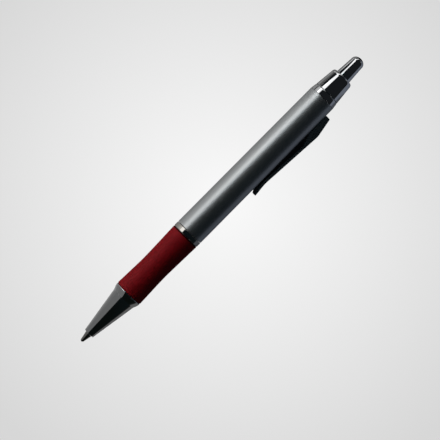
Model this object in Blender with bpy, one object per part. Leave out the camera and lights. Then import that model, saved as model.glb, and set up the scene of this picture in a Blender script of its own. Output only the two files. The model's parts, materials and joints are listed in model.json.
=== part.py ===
"""A pushbutton ballpoint pen, tip out, lying on its side with the clip turned down to the table.

The pen's axis runs along X, with the writing tip towards -X and the button towards +X.
A station is a distance along that axis from the end of the tip. Radii are measured from the axis.
All sizes are in metres.
"""

from math import asin, atan2, cos, hypot, pi, sin, sqrt

import bmesh
import bpy
from mathutils import Vector

# Outside of the nose, grip and trim ring
POINT_REACH = 0.0039
NOSE_CONE_LENGTH = 0.0175
NOSE_COLLAR_LENGTH = 0.0025
NOSE_MOUTH_DIAMETER = 0.0039
NOSE_CONE_DIAMETER = 0.0094
NOSE_COLLAR_DIAMETER = 0.0109
NOSE_LIP_ROUND = 0.00015
GRIP_LENGTH = 0.0284
GRIP_FRONT_DIAMETER = 0.0110
GRIP_WAIST_DIAMETER = 0.0102
GRIP_REAR_DIAMETER = 0.01105
GRIP_WAIST_OFFSET = 0.0129
GRIP_WAIST_ROUND = 0.0025
GRIP_EDGE = 0.0003
RING_LENGTH = 0.0021
RING_EDGE = 0.00015

# Outside of the barrel, end band, cap and button
BARREL_LENGTH = 0.06655
BARREL_DIAMETER = 0.01105
BARREL_REAR_DIAMETER = 0.0108
BARREL_WALL = 0.0006
BAND_LENGTH = 0.00245
BAND_REAR_DIAMETER = 0.01015
CAP_LENGTH = 0.00825
CAP_FRONT_DIAMETER = 0.01008
CAP_REAR_DIAMETER = 0.0087
CAP_EDGE_LENGTH = 0.0013
CAP_EDGE_WIDTH = 0.00075
CAP_END_WALL = 0.0016
BUTTON_REACH = 0.0091
BUTTON_DIAMETER = 0.0059
BUTTON_END_DIAMETER = 0.0050
BUTTON_DOME_LENGTH = 0.0020
BUTTON_WALL = 0.0006
BUTTON_SOCKET_REACH = 0.0040
BUTTON_FLANGE_LENGTH = 0.0015

# Clip, measured along the barrel and outwards from its surface
CLIP_LENGTH = 0.0382
CLIP_SETBACK = 0.0031
CLIP_ROOT_WIDTH = 0.0050
CLIP_TAIL_WIDTH = 0.0040
CLIP_THICKNESS = 0.0014
CLIP_EDGE = 0.0004
CLIP_ROOT_HEIGHT = 0.00172
CLIP_KNEE_HEIGHT = 0.00312
CLIP_KNEE_OFFSET = 0.0075
CLIP_BASE_LENGTH = 0.0088
CLIP_CONTACT_HEIGHT = 0.0015
CLIP_CONTACT_OFFSET = 0.0063
CLIP_TAIL_HEIGHT = 0.0024
CLIP_TAIL_THICKNESS = 0.0012
CLIP_TAIL_ROUND = 0.0017
CLIP_SEAT_GAP = 0.0001
CLIP_FOOT_OFFSET = 0.0022
CLIP_FOOT_LENGTH = 0.0031
CLIP_FOOT_WIDTH = 0.0024
CLIP_HOOK_LENGTH = 0.0016
CLIP_HOOK_THICKNESS = 0.00045
CLIP_HOOK_DROP = 0.00055

# Click mechanism
CLICK_TRAVEL = 0.0050
PRESS_TRAVEL = 0.0012
STOP_COUNT = 4
TOOTH_COUNT = 8
TOOTH_DEPTH = 0.0006
TOOTH_GAP = 0.00015
RIB_LENGTH = 0.0018
CAM_SLOPE = 0.0003
CAM_NOSE_LENGTH = 0.0030
CAM_PIN_DIAMETER = 0.0026
CAM_PIN_LENGTH = 0.0050
GUIDE_LENGTH = 0.0030
GUIDE_SETBACK = 0.0056
SLEEVE_WALL = 0.0010
SLEEVE_LEAD = 0.0008
STOP_HEIGHT = 0.0008
GUIDE_HEIGHT = 0.0005
CAP_SPIGOT_LENGTH = 0.0043
CAP_SPIGOT_WALL = 0.0005
SOCKET_WALL = 0.0004

# Front section inside the grip
CORE_REAR_LENGTH = 0.0110
CORE_WALL = 0.000975
CORE_WEB = 0.00065
CORE_SPIGOT_LENGTH = 0.0059
CORE_SPIGOT_WALL = 0.00065
INSERT_LENGTH = 0.0115
INSERT_WALL = 0.0006

# Refill and spring
BALL_DIAMETER = 0.0010
BALL_CLEARANCE = 0.00004
POINT_RIM_WALL = 0.00008
POINT_RIM_OFFSET = 0.00032
POINT_DIAMETER = 0.00255
POINT_TAPER_LENGTH = 0.0036
POINT_LENGTH = 0.0090
POINT_SHANK_LENGTH = 0.0040
POINT_SHANK_DIAMETER = 0.0020
INK_CHANNEL_DIAMETER = 0.0007
NECK_DIAMETER = 0.0034
NECK_COLLAR_LENGTH = 0.0008
NECK_PLUG_LENGTH = 0.0045
REFILL_DIAMETER = 0.0059
REFILL_WALL = 0.00025
REFILL_PLUG_HEAD = 0.0014
REFILL_PLUG_LENGTH = 0.0040
REFILL_VENT_DIAMETER = 0.0010
INK_LENGTH = 0.0480
SPRING_WIRE = 0.0004
SPRING_TURNS = 9.5
SPRING_SEAT_DEPTH = 0.0091

# Clearances: pressed or threaded fits, running fits, end faces and steps
FIT = 0.0001
RUN = 0.0002
SEAM = 0.00005
STEP_GAP = 0.0002

# Facets round the turned pieces, and points on curves
OUTER_SIDES = 36
CAM_SIDES = 32
INNER_SIDES = 24
BALL_SIDES = 16
ARC_STEPS = 4
DOME_STEPS = 6
GRIP_STEPS = 10
SPRING_POINTS_PER_TURN = 9

# Stations of the outside pieces, front to back
NOSE_FRONT = POINT_REACH
COLLAR_FRONT = NOSE_FRONT + NOSE_CONE_LENGTH
NOSE_REAR = COLLAR_FRONT + NOSE_COLLAR_LENGTH
GRIP_REAR = NOSE_REAR + GRIP_LENGTH
RING_REAR = GRIP_REAR + RING_LENGTH
BARREL_REAR = RING_REAR + BARREL_LENGTH
BAND_REAR = BARREL_REAR + BAND_LENGTH
CAP_REAR = BAND_REAR + CAP_LENGTH
PEN_LENGTH = CAP_REAR + BUTTON_REACH

# Radii of the nested pieces behind the grip, from the outside in
BARREL_FRONT_BORE = BARREL_DIAMETER / 2 - BARREL_WALL
BARREL_BORE = BARREL_REAR_DIAMETER / 2 - BARREL_WALL
INSERT_OUTER = BARREL_FRONT_BORE - FIT
INSERT_BORE = INSERT_OUTER - INSERT_WALL
TAIL_OUTER = INSERT_BORE - FIT
RING_BORE = TAIL_OUTER + FIT
SLEEVE_OUTER = BARREL_BORE - FIT
SLEEVE_BORE = SLEEVE_OUTER - SLEEVE_WALL
STOP_TIP = SLEEVE_BORE - STOP_HEIGHT
GUIDE_TIP = SLEEVE_BORE - GUIDE_HEIGHT
RIB_TIP = SLEEVE_BORE - RUN
CAM_OUTER = STOP_TIP - RUN
PIN_BORE = CAM_PIN_DIAMETER / 2 + RUN
CAP_SOCKET = SLEEVE_OUTER - SOCKET_WALL
CAP_SPIGOT = CAP_SOCKET - FIT
CAP_BORE = CAP_SPIGOT - CAP_SPIGOT_WALL
FLANGE_OUTER = CAP_BORE - RUN
BUTTON_BORE = BUTTON_DIAMETER / 2 - BUTTON_WALL
STEM_OUTER = BUTTON_BORE - FIT

# Radii round the refill, from the inside out
POINT_BORE = POINT_DIAMETER / 2 + RUN
NECK_BORE = POINT_SHANK_DIAMETER / 2 + FIT
NECK_PASSAGE = NECK_DIAMETER / 2 + RUN
SPRING_RADIUS = NECK_DIAMETER / 2 + RUN + SPRING_WIRE / 2
SPRING_BORE = SPRING_RADIUS + SPRING_WIRE / 2 + RUN
CORE_SPIGOT = SPRING_BORE + CORE_SPIGOT_WALL
NOSE_SOCKET = CORE_SPIGOT + FIT
CORE_BORE = REFILL_DIAMETER / 2 + RUN
CORE_OUTER = CORE_BORE + CORE_WALL
CORE_SEAT = CORE_OUTER + FIT
REFILL_BORE = REFILL_DIAMETER / 2 - REFILL_WALL
REFILL_FILL = REFILL_BORE - FIT

# Stations of the front section's inner steps and of the refill's front
SPRING_SEAT = NOSE_FRONT + SPRING_SEAT_DEPTH
CORE_FRONT = NOSE_REAR - CORE_SPIGOT_LENGTH
CORE_REAR = RING_REAR + CORE_REAR_LENGTH
INSERT_REAR = RING_REAR + SEAM + INSERT_LENGTH
WEB_REAR = NOSE_REAR + SEAM + CORE_WEB
NECK_FRONT = POINT_LENGTH + SEAM
MOUTH_REAR = NECK_FRONT - PRESS_TRAVEL - STEP_GAP
NECK_COLLAR = WEB_REAR + PRESS_TRAVEL + STEP_GAP
TUBE_FRONT = NECK_COLLAR + NECK_COLLAR_LENGTH + SEAM
NECK_REAR = TUBE_FRONT + NECK_PLUG_LENGTH

# Stations of the click mechanism, set out forwards from the cap's spigot
SPIGOT_FRONT = BARREL_REAR - CAP_SPIGOT_LENGTH
GUIDE_REAR = SPIGOT_FRONT - GUIDE_SETBACK
GUIDE_FRONT = GUIDE_REAR - GUIDE_LENGTH
RIB_FRONT = GUIDE_FRONT - STEP_GAP - CLICK_TRAVEL - RIB_LENGTH
RIB_REAR = RIB_FRONT + RIB_LENGTH
STOP_FRONT = RIB_REAR + STEP_GAP
STOP_REAR = RIB_FRONT + CLICK_TRAVEL - STEP_GAP
SLEEVE_FRONT = RIB_FRONT - PRESS_TRAVEL - SLEEVE_LEAD
CAM_FRONT = RIB_FRONT - CAM_NOSE_LENGTH
PLUNGER_FRONT = RIB_REAR + TOOTH_DEPTH + TOOTH_GAP
LUG_FRONT = PLUNGER_FRONT + TOOTH_DEPTH + CAM_SLOPE
LUG_REAR = GUIDE_REAR - GUIDE_LENGTH / 2 + PRESS_TRAVEL
PIN_REAR = RIB_REAR + CAM_PIN_LENGTH
REFILL_REAR = CAM_FRONT - SEAM
TUBE_REAR = REFILL_REAR - REFILL_PLUG_HEAD
CAP_END_INNER = CAP_REAR - CAP_END_WALL
FLANGE_REAR = CAP_END_INNER - CLICK_TRAVEL - STEP_GAP
FLANGE_FRONT = FLANGE_REAR - BUTTON_FLANGE_LENGTH
BUTTON_BORE_END = CAP_REAR + BUTTON_SOCKET_REACH

# Clip stations, back to front
CLIP_REAR = BARREL_REAR - CLIP_SETBACK
CLIP_KNEE = CLIP_REAR - CLIP_KNEE_OFFSET
CLIP_BASE_FRONT = CLIP_REAR - CLIP_BASE_LENGTH
CLIP_TAIL = CLIP_REAR - CLIP_LENGTH
CLIP_CONTACT = CLIP_TAIL + CLIP_CONTACT_OFFSET
CLIP_FOOT_REAR = CLIP_REAR - CLIP_FOOT_OFFSET
CLIP_FOOT_FRONT = CLIP_FOOT_REAR - CLIP_FOOT_LENGTH
CLIP_HOOK_FRONT = CLIP_FOOT_FRONT - CLIP_HOOK_LENGTH

# Finishes: colour, roughness, metallic
CHROME = ((0.82, 0.83, 0.84), 0.08, 1.0)
SATIN_SILVER = ((0.50, 0.52, 0.53), 0.32, 1.0)
RED_RUBBER = ((0.22, 0.012, 0.018), 0.70, 0.0)
BLACK_LACQUER = ((0.010, 0.013, 0.020), 0.30, 0.0)
GREY_PLASTIC = ((0.30, 0.30, 0.31), 0.50, 0.0)
WHITE_PLASTIC = ((0.75, 0.75, 0.73), 0.45, 0.0)
SPRING_STEEL = ((0.55, 0.56, 0.58), 0.25, 1.0)
BRASS = ((0.75, 0.58, 0.30), 0.25, 1.0)
NICKEL = ((0.66, 0.64, 0.60), 0.20, 1.0)
INK = ((0.010, 0.012, 0.060), 0.40, 0.0)


def finish(name, look):
    """A Principled material of the given colour, roughness and metallic value."""
    colour, roughness, metallic = look
    material = bpy.data.materials.new(name)
    material.use_nodes = True
    shader = material.node_tree.nodes["Principled BSDF"]
    shader.inputs["Base Color"].default_value = (*colour, 1.0)
    shader.inputs["Roughness"].default_value = roughness
    shader.inputs["Metallic"].default_value = metallic
    material.diffuse_color = (*colour, 1.0)
    return material


def empty(name, parent, location):
    """A frame that pieces hang on."""
    frame = bpy.data.objects.new(name, None)
    bpy.context.scene.collection.objects.link(frame)
    frame.parent = parent
    frame.location = location
    return frame


def place(name, data, look, parent, location):
    """Put a mesh or curve into the scene as a named piece with its own material."""
    piece = bpy.data.objects.new(name, data)
    bpy.context.scene.collection.objects.link(piece)
    data.materials.append(finish(name + "_finish", look))
    piece.parent = parent
    piece.location = location
    return piece


def shade(mesh):
    """Smooth round faces and keep edges over 30 degrees sharp."""
    mesh.shade_smooth()
    mesh.set_sharp_from_angle(angle=pi / 6)


def value_at(value, angle):
    """A profile value, which is a number or depends on the angle round the axis."""
    return value(angle) if callable(value) else value


def turned(name, front, profile, sides, look, parent):
    """A turned piece from a closed loop of (station, radius) points, with its origin at station front.

    A facet faces straight down. A radius of exactly 0 is a point on the axis.
    """
    shape = bmesh.new()
    rings = []
    for station, radius in profile:
        if radius == 0:
            rings.append([shape.verts.new((station - front, 0, 0))])
            continue
        ring = []
        for side in range(sides):
            angle = 2 * pi * (side + 0.5) / sides - pi / 2
            along = value_at(station, angle) - front
            out = value_at(radius, angle)
            ring.append(shape.verts.new((along, out * cos(angle), out * sin(angle))))
        rings.append(ring)
    for ring, after in zip(rings, rings[1:] + rings[:1]):
        if len(ring) == 1 and len(after) == 1:
            continue
        for side in range(sides):
            turn = (side + 1) % sides
            corners = [ring[side % len(ring)], ring[turn % len(ring)]]
            corners += [after[turn % len(after)], after[side % len(after)]]
            shape.faces.new(list(dict.fromkeys(corners)))
    bmesh.ops.recalc_face_normals(shape, faces=shape.faces)
    mesh = bpy.data.meshes.new(name)
    shape.to_mesh(mesh)
    shape.free()
    shade(mesh)
    return place(name, mesh, look, parent, (front, 0, 0))


def box(name, low, high, parent):
    """A cutter or tool block between two corners, left out of the finished pen."""
    mesh = bpy.data.meshes.new(name)
    shape = bmesh.new()
    bmesh.ops.create_cube(shape, size=1.0)
    middle = (Vector(low) + Vector(high)) / 2
    size = Vector(high) - Vector(low)
    for vertex in shape.verts:
        vertex.co = Vector((vertex.co.x * size.x, vertex.co.y * size.y, vertex.co.z * size.z))
    shape.to_mesh(mesh)
    shape.free()
    block = bpy.data.objects.new(name, mesh)
    bpy.context.scene.collection.objects.link(block)
    block.parent = parent
    block.location = middle
    block.hide_render = True
    block.display_type = "WIRE"
    return block


def combine(piece, tool, operation):
    """Cut a tool out of a piece, or join it on."""
    modifier = piece.modifiers.new(operation.title(), "BOOLEAN")
    modifier.operation = operation
    modifier.solver = "EXACT"
    modifier.object = tool


def arc(centre, radius, start, end, steps):
    """Points on an arc in the (station, radius) plane, both ends included."""
    points = []
    for step in range(steps + 1):
        angle = start + (end - start) * step / steps
        points.append((centre[0] + radius * cos(angle), centre[1] + radius * sin(angle)))
    return points


def sectors(raised, plain, count, half_turn):
    """A radius that is raised over count sectors, each a quarter of its share wide on either side.

    With half_turn the raised sectors lie midway between the places they otherwise have.
    """
    pitch = 2 * pi / count

    def radius(angle):
        offset = angle + pi / 2 + (pitch / 2 if half_turn else 0)
        from_middle = abs((offset + pitch / 2) % pitch - pitch / 2)
        return raised if from_middle < pitch / 5 else plain

    return radius


def teeth(base, direction):
    """A station that zigzags from base by the tooth depth, forwards or back, round a crown of teeth."""

    def station(angle):
        share = (angle * TOOTH_COUNT / (2 * pi)) % 1.0
        height = 1 - abs(2 * share - 1)
        return base + direction * TOOTH_DEPTH * height

    return station


def barrel_radius(station):
    """The barrel's outer radius, which narrows slightly to the back."""
    share = (station - RING_REAR) / BARREL_LENGTH
    return (BARREL_DIAMETER + (BARREL_REAR_DIAMETER - BARREL_DIAMETER) * share) / 2


def nose_cone(axis):
    """The plated nose: a cone with a flared collar, stepped inside for the point, spring and core."""
    collar_start = NOSE_CONE_DIAMETER / 2
    collar_rise = NOSE_COLLAR_DIAMETER / 2 - collar_start
    mouth = NOSE_MOUTH_DIAMETER / 2
    profile = [(NOSE_FRONT, POINT_BORE), (NOSE_FRONT, mouth - NOSE_LIP_ROUND)]
    profile.append((NOSE_FRONT + NOSE_LIP_ROUND, mouth))
    for step in range(ARC_STEPS + 1):
        share = step / ARC_STEPS
        station = COLLAR_FRONT + share * NOSE_COLLAR_LENGTH
        profile.append((station, collar_start + collar_rise * sin(share * pi / 2)))
    profile += [(NOSE_REAR, NOSE_SOCKET), (CORE_FRONT - SEAM, NOSE_SOCKET)]
    profile += [(CORE_FRONT - SEAM, SPRING_BORE), (SPRING_SEAT, SPRING_BORE)]
    profile += [(SPRING_SEAT, NECK_PASSAGE), (MOUTH_REAR, NECK_PASSAGE), (MOUTH_REAR, POINT_BORE)]
    return turned("nose_cone", NOSE_FRONT, profile, OUTER_SIDES, CHROME, axis)


def grip_core(axis):
    """The plastic core: a spigot into the nose, a body under the grip and a tail into the barrel."""
    body_front = NOSE_REAR + SEAM
    profile = [(CORE_FRONT, SPRING_BORE), (CORE_FRONT, CORE_SPIGOT), (body_front, CORE_SPIGOT)]
    profile += [(body_front, CORE_OUTER), (GRIP_REAR, CORE_OUTER), (GRIP_REAR + SEAM, TAIL_OUTER)]
    profile += [(CORE_REAR, TAIL_OUTER), (CORE_REAR, CORE_BORE)]
    profile += [(WEB_REAR, CORE_BORE), (WEB_REAR, SPRING_BORE)]
    return turned("grip_core", CORE_FRONT, profile, INNER_SIDES, GREY_PLASTIC, axis)


def grip_radius(station):
    """The grip's outer radius: two straight flares with a rounded waist between them."""
    waist_station = NOSE_REAR + GRIP_WAIST_OFFSET
    waist = GRIP_WAIST_DIAMETER / 2
    if station < waist_station:
        reach = GRIP_WAIST_OFFSET
        end = GRIP_FRONT_DIAMETER / 2
    else:
        reach = GRIP_LENGTH - GRIP_WAIST_OFFSET
        end = GRIP_REAR_DIAMETER / 2
    rise = hypot(station - waist_station, GRIP_WAIST_ROUND) - GRIP_WAIST_ROUND
    return waist + (end - waist) * rise / (hypot(reach, GRIP_WAIST_ROUND) - GRIP_WAIST_ROUND)


def grip_sleeve(axis):
    """The soft red sleeve over the core, waisted for the fingers."""
    front = NOSE_REAR + SEAM
    rear = GRIP_REAR
    outer_front = front + GRIP_EDGE
    outer_length = rear - GRIP_EDGE - outer_front
    profile = [(front, CORE_SEAT), (front, GRIP_FRONT_DIAMETER / 2 - GRIP_EDGE)]
    for step in range(GRIP_STEPS + 1):
        station = outer_front + outer_length * step / GRIP_STEPS
        profile.append((station, grip_radius(station)))
    profile += [(rear, GRIP_REAR_DIAMETER / 2 - GRIP_EDGE), (rear, CORE_SEAT)]
    return turned("grip_sleeve", front, profile, OUTER_SIDES, RED_RUBBER, axis)


def trim_ring(axis):
    """The plated ring between grip and barrel."""
    front = GRIP_REAR + SEAM
    rear = RING_REAR
    outer = BARREL_DIAMETER / 2
    profile = [(front, RING_BORE), (front, outer - RING_EDGE), (front + RING_EDGE, outer)]
    profile += [(rear - RING_EDGE, outer), (rear, outer - RING_EDGE), (rear, RING_BORE)]
    return turned("trim_ring", front, profile, OUTER_SIDES, CHROME, axis)


def barrel(axis, clip_frame):
    """The satin tube, with a wider bore for the insert and a slot for the clip's foot."""
    front = RING_REAR + SEAM
    shoulder = INSERT_REAR + SEAM
    profile = [(front, BARREL_FRONT_BORE), (front, barrel_radius(front))]
    profile += [(BARREL_REAR, barrel_radius(BARREL_REAR)), (BARREL_REAR, BARREL_BORE)]
    profile += [(shoulder, BARREL_BORE), (shoulder, BARREL_FRONT_BORE)]
    tube = turned("barrel", front, profile, OUTER_SIDES, SATIN_SILVER, axis)
    half_width = CLIP_FOOT_WIDTH / 2 + RUN
    low = (CLIP_FOOT_FRONT - RUN, -half_width, BARREL_BORE - BARREL_WALL)
    high = (CLIP_FOOT_REAR + RUN, half_width, barrel_radius(RING_REAR) + BARREL_WALL)
    combine(tube, box("clip_slot_cutter", low, high, clip_frame), "DIFFERENCE")
    return tube


def barrel_insert(axis):
    """The bush pressed into the barrel's front, which the core screws into."""
    front = RING_REAR + SEAM
    profile = [(front, INSERT_BORE), (front, INSERT_OUTER)]
    profile += [(INSERT_REAR, INSERT_OUTER), (INSERT_REAR, INSERT_BORE)]
    return turned("barrel_insert", front, profile, INNER_SIDES, GREY_PLASTIC, axis)


def cam_sleeve(axis, clip_frame):
    """The sleeve in the barrel: stop lugs for the cam, guide ribs for the plunger, a socket for the cap."""
    stops = sectors(STOP_TIP, SLEEVE_BORE, STOP_COUNT, half_turn=True)
    guides = sectors(GUIDE_TIP, SLEEVE_BORE, STOP_COUNT, half_turn=True)
    rear = BARREL_REAR
    socket_end = SPIGOT_FRONT - SEAM
    profile = [(SLEEVE_FRONT, SLEEVE_BORE), (SLEEVE_FRONT, SLEEVE_OUTER), (rear, SLEEVE_OUTER)]
    profile += [(rear, CAP_SOCKET), (socket_end, CAP_SOCKET), (socket_end, SLEEVE_BORE)]
    profile += [(GUIDE_REAR, SLEEVE_BORE), (GUIDE_REAR - CAM_SLOPE, guides)]
    profile += [(GUIDE_FRONT + CAM_SLOPE, guides), (GUIDE_FRONT, SLEEVE_BORE)]
    profile += [(STOP_REAR, SLEEVE_BORE), (STOP_REAR - CAM_SLOPE, stops)]
    profile += [(STOP_FRONT + CAM_SLOPE, stops), (STOP_FRONT, SLEEVE_BORE)]
    sleeve = turned("cam_sleeve", SLEEVE_FRONT, profile, CAM_SIDES, WHITE_PLASTIC, axis)
    half_width = CLIP_FOOT_WIDTH / 2 + RUN
    low = (CLIP_HOOK_FRONT - RUN, -half_width, SLEEVE_BORE - SLEEVE_WALL)
    high = (CLIP_FOOT_REAR + RUN, half_width, SLEEVE_OUTER + SLEEVE_WALL)
    combine(sleeve, box("clip_window_cutter", low, high, clip_frame), "DIFFERENCE")
    return sleeve


def end_ring(axis):
    """The plated band that closes the barrel's back end and narrows to the cap."""
    front = BARREL_REAR + SEAM
    bore = CAP_SPIGOT + FIT
    profile = [(front, bore), (front, BARREL_REAR_DIAMETER / 2)]
    profile += [(BAND_REAR, BAND_REAR_DIAMETER / 2), (BAND_REAR, bore)]
    return turned("end_ring", front, profile, OUTER_SIDES, CHROME, axis)


def top_cap(axis):
    """The plated cap: a spigot into the sleeve, a tapering shell and an end wall round the button."""
    shell_front = BAND_REAR + SEAM
    hole = BUTTON_DIAMETER / 2 + RUN
    edge_front = CAP_REAR - CAP_EDGE_LENGTH
    edge_inner = CAP_REAR_DIAMETER / 2 - CAP_EDGE_WIDTH
    profile = [(SPIGOT_FRONT, CAP_BORE), (SPIGOT_FRONT, CAP_SPIGOT), (shell_front, CAP_SPIGOT)]
    profile.append((shell_front, CAP_FRONT_DIAMETER / 2))
    for step in range(ARC_STEPS + 1):
        turn = pi / 2 * step / ARC_STEPS
        profile.append((edge_front + CAP_EDGE_LENGTH * sin(turn), edge_inner + CAP_EDGE_WIDTH * cos(turn)))
    profile += [(CAP_REAR, hole), (CAP_END_INNER, hole), (CAP_END_INNER, CAP_BORE)]
    return turned("top_cap", SPIGOT_FRONT, profile, OUTER_SIDES, CHROME, axis)


def push_button(axis):
    """The plated button: a hollow shank with a flange that stays inside the cap, and a domed end."""
    shank = BUTTON_DIAMETER / 2
    end = BUTTON_END_DIAMETER / 2
    dome_front = PEN_LENGTH - BUTTON_DOME_LENGTH
    profile = [(FLANGE_FRONT, BUTTON_BORE), (FLANGE_FRONT, FLANGE_OUTER), (FLANGE_REAR, FLANGE_OUTER)]
    profile += [(FLANGE_REAR, shank), (CAP_REAR, shank)]
    for step in range(DOME_STEPS):
        turn = pi / 2 * step / DOME_STEPS
        profile.append((dome_front + BUTTON_DOME_LENGTH * sin(turn), end * cos(turn)))
    profile += [(PEN_LENGTH, 0), (BUTTON_BORE_END, 0), (BUTTON_BORE_END, BUTTON_BORE)]
    return turned("push_button", FLANGE_FRONT, profile, OUTER_SIDES, CHROME, axis)


def plunger(axis):
    """The plunger under the button, with a crown of teeth in front and lugs that keep it from turning."""
    lugs = sectors(RIB_TIP, CAM_OUTER, STOP_COUNT, half_turn=False)
    crown = teeth(PLUNGER_FRONT + TOOTH_DEPTH, -1)
    bore_end = PIN_REAR + STEP_GAP
    stem_rear = BUTTON_BORE_END - SEAM
    profile = [(crown, PIN_BORE), (crown, CAM_OUTER), (LUG_FRONT, CAM_OUTER)]
    profile += [(LUG_FRONT + CAM_SLOPE, lugs), (LUG_REAR - CAM_SLOPE, lugs), (LUG_REAR, CAM_OUTER)]
    profile += [(LUG_REAR + CAM_SLOPE, STEM_OUTER), (stem_rear, STEM_OUTER), (stem_rear, 0)]
    profile += [(bore_end, 0), (bore_end, PIN_BORE)]
    return turned("plunger", PLUNGER_FRONT, profile, CAM_SIDES, GREY_PLASTIC, axis)


def rotary_cam(axis):
    """The turning cam: ribs that catch on the sleeve's stops, a crown of teeth and a guide pin."""
    ribs = sectors(RIB_TIP, CAM_OUTER, STOP_COUNT, half_turn=False)
    crown = teeth(RIB_REAR, 1)
    pin = CAM_PIN_DIAMETER / 2
    profile = [(CAM_FRONT, 0), (CAM_FRONT, CAM_OUTER), (RIB_FRONT, CAM_OUTER)]
    profile += [(RIB_FRONT + CAM_SLOPE, ribs), (RIB_REAR - CAM_SLOPE, ribs)]
    profile += [(crown, CAM_OUTER), (crown, pin), (PIN_REAR, pin), (PIN_REAR, 0)]
    return turned("rotary_cam", CAM_FRONT, profile, CAM_SIDES, WHITE_PLASTIC, axis)


def return_spring(axis):
    """The coil spring between the nose and the refill's collar, as one wire along a helix."""
    start = SPRING_SEAT + SEAM + SPRING_WIRE / 2
    length = NECK_COLLAR - SEAM - SPRING_WIRE / 2 - start
    count = round(SPRING_TURNS * SPRING_POINTS_PER_TURN)
    points = []
    for step in range(count + 1):
        share = step / count
        angle = 2 * pi * SPRING_TURNS * share
        points.append(Vector((length * share, SPRING_RADIUS * cos(angle), SPRING_RADIUS * sin(angle))))
    far = SPRING_POINTS_PER_TURN // 2
    pairs = ((a, b) for a in range(count + 1) for b in range(a + far, count + 1))
    least = min((points[a] - points[b]).length for a, b in pairs) - SPRING_WIRE
    print(f"return_spring: least gap between its turns {least * 1000:.2f} mm")
    wire = bpy.data.curves.new("return_spring", "CURVE")
    wire.dimensions = "3D"
    wire.bevel_depth = SPRING_WIRE / 2
    wire.bevel_resolution = 1
    wire.use_fill_caps = True
    helix = wire.splines.new("POLY")
    helix.points.add(count)
    for point, place_on_helix in zip(helix.points, points):
        point.co = (*place_on_helix, 1.0)
    return place("return_spring", wire, SPRING_STEEL, axis, (start, 0, 0))


def refill_point(axis):
    """The metal writing point: a cone with a socket for the ball, an ink channel and a shank behind."""
    centre = BALL_DIAMETER / 2
    socket = centre + BALL_CLEARANCE
    channel = INK_CHANNEL_DIAMETER / 2
    rim_in_front = centre - POINT_RIM_OFFSET
    rim = sqrt(socket**2 - rim_in_front**2)
    shank = POINT_SHANK_DIAMETER / 2
    shank_rear = POINT_LENGTH + POINT_SHANK_LENGTH
    seat = BALL_DIAMETER + 2 * BALL_CLEARANCE
    profile = [(POINT_RIM_OFFSET, rim), (POINT_RIM_OFFSET, rim + POINT_RIM_WALL)]
    profile += [(POINT_TAPER_LENGTH, POINT_DIAMETER / 2), (POINT_LENGTH, POINT_DIAMETER / 2)]
    profile += [(POINT_LENGTH, shank), (shank_rear, shank), (shank_rear, channel)]
    profile += [(seat + channel, channel), (seat, socket), (centre, socket)]
    return turned("refill_point", POINT_RIM_OFFSET, profile, INNER_SIDES, NICKEL, axis)


def writing_ball(axis):
    """The ball that rolls in the point's socket."""
    radius = BALL_DIAMETER / 2
    profile = arc((radius, 0), radius, pi, 0, BALL_SIDES // 2)
    profile[0] = (0.0, 0)
    profile[-1] = (BALL_DIAMETER, 0)
    ball = turned("writing_ball", radius, profile, BALL_SIDES, SPRING_STEEL, axis)
    return ball


def refill_neck(axis):
    """The plastic neck that joins the point to the tube, with the collar that the spring pushes on."""
    neck = NECK_DIAMETER / 2
    collar_rear = NECK_COLLAR + NECK_COLLAR_LENGTH
    profile = [(NECK_FRONT, NECK_BORE), (NECK_FRONT, neck), (NECK_COLLAR, neck)]
    profile += [(NECK_COLLAR, REFILL_DIAMETER / 2), (collar_rear, REFILL_DIAMETER / 2)]
    profile += [(collar_rear, REFILL_FILL), (NECK_REAR, REFILL_FILL), (NECK_REAR, NECK_BORE)]
    return turned("refill_neck", NECK_FRONT, profile, INNER_SIDES, WHITE_PLASTIC, axis)


def refill_tube(axis):
    """The metal ink tube."""
    outer = REFILL_DIAMETER / 2
    rear = TUBE_REAR - SEAM
    profile = [(TUBE_FRONT, REFILL_BORE), (TUBE_FRONT, outer), (rear, outer), (rear, REFILL_BORE)]
    return turned("refill_tube", TUBE_FRONT, profile, INNER_SIDES, BRASS, axis)


def refill_plug(axis):
    """The vented plug in the tube's back end, which the cam pushes on."""
    front = TUBE_REAR - REFILL_PLUG_LENGTH
    vent = REFILL_VENT_DIAMETER / 2
    profile = [(front, vent), (front, REFILL_FILL), (TUBE_REAR, REFILL_FILL)]
    profile += [(TUBE_REAR, REFILL_DIAMETER / 2), (REFILL_REAR, REFILL_DIAMETER / 2), (REFILL_REAR, vent)]
    return turned("refill_plug", front, profile, INNER_SIDES, GREY_PLASTIC, axis)


def ink_paste(axis):
    """The column of ink behind the neck."""
    front = NECK_REAR + SEAM
    rear = front + INK_LENGTH
    profile = [(front, 0), (front, REFILL_FILL), (rear, REFILL_FILL), (rear, 0)]
    return turned("ink_paste", front, profile, INNER_SIDES, INK, axis)


def clip_outer(station):
    """The radius of the clip's outer face: a tail that curls up, then straight runs to the knee and the root."""
    if station < CLIP_CONTACT:
        share = ((CLIP_CONTACT - station) / CLIP_CONTACT_OFFSET) ** 2
        low, high = CLIP_CONTACT_HEIGHT, CLIP_TAIL_HEIGHT
    elif station < CLIP_KNEE:
        share = (station - CLIP_CONTACT) / (CLIP_KNEE - CLIP_CONTACT)
        low, high = CLIP_CONTACT_HEIGHT, CLIP_KNEE_HEIGHT
    else:
        share = (station - CLIP_KNEE) / CLIP_KNEE_OFFSET
        low, high = CLIP_KNEE_HEIGHT, CLIP_ROOT_HEIGHT
    return barrel_radius(station) + low + (high - low) * share


def clip_thickness(station):
    """The clip's thickness, which is less where the tail curls up."""
    share = max((CLIP_CONTACT - station) / CLIP_CONTACT_OFFSET, 0) ** 2
    return CLIP_THICKNESS + (CLIP_TAIL_THICKNESS - CLIP_THICKNESS) * share


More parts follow.
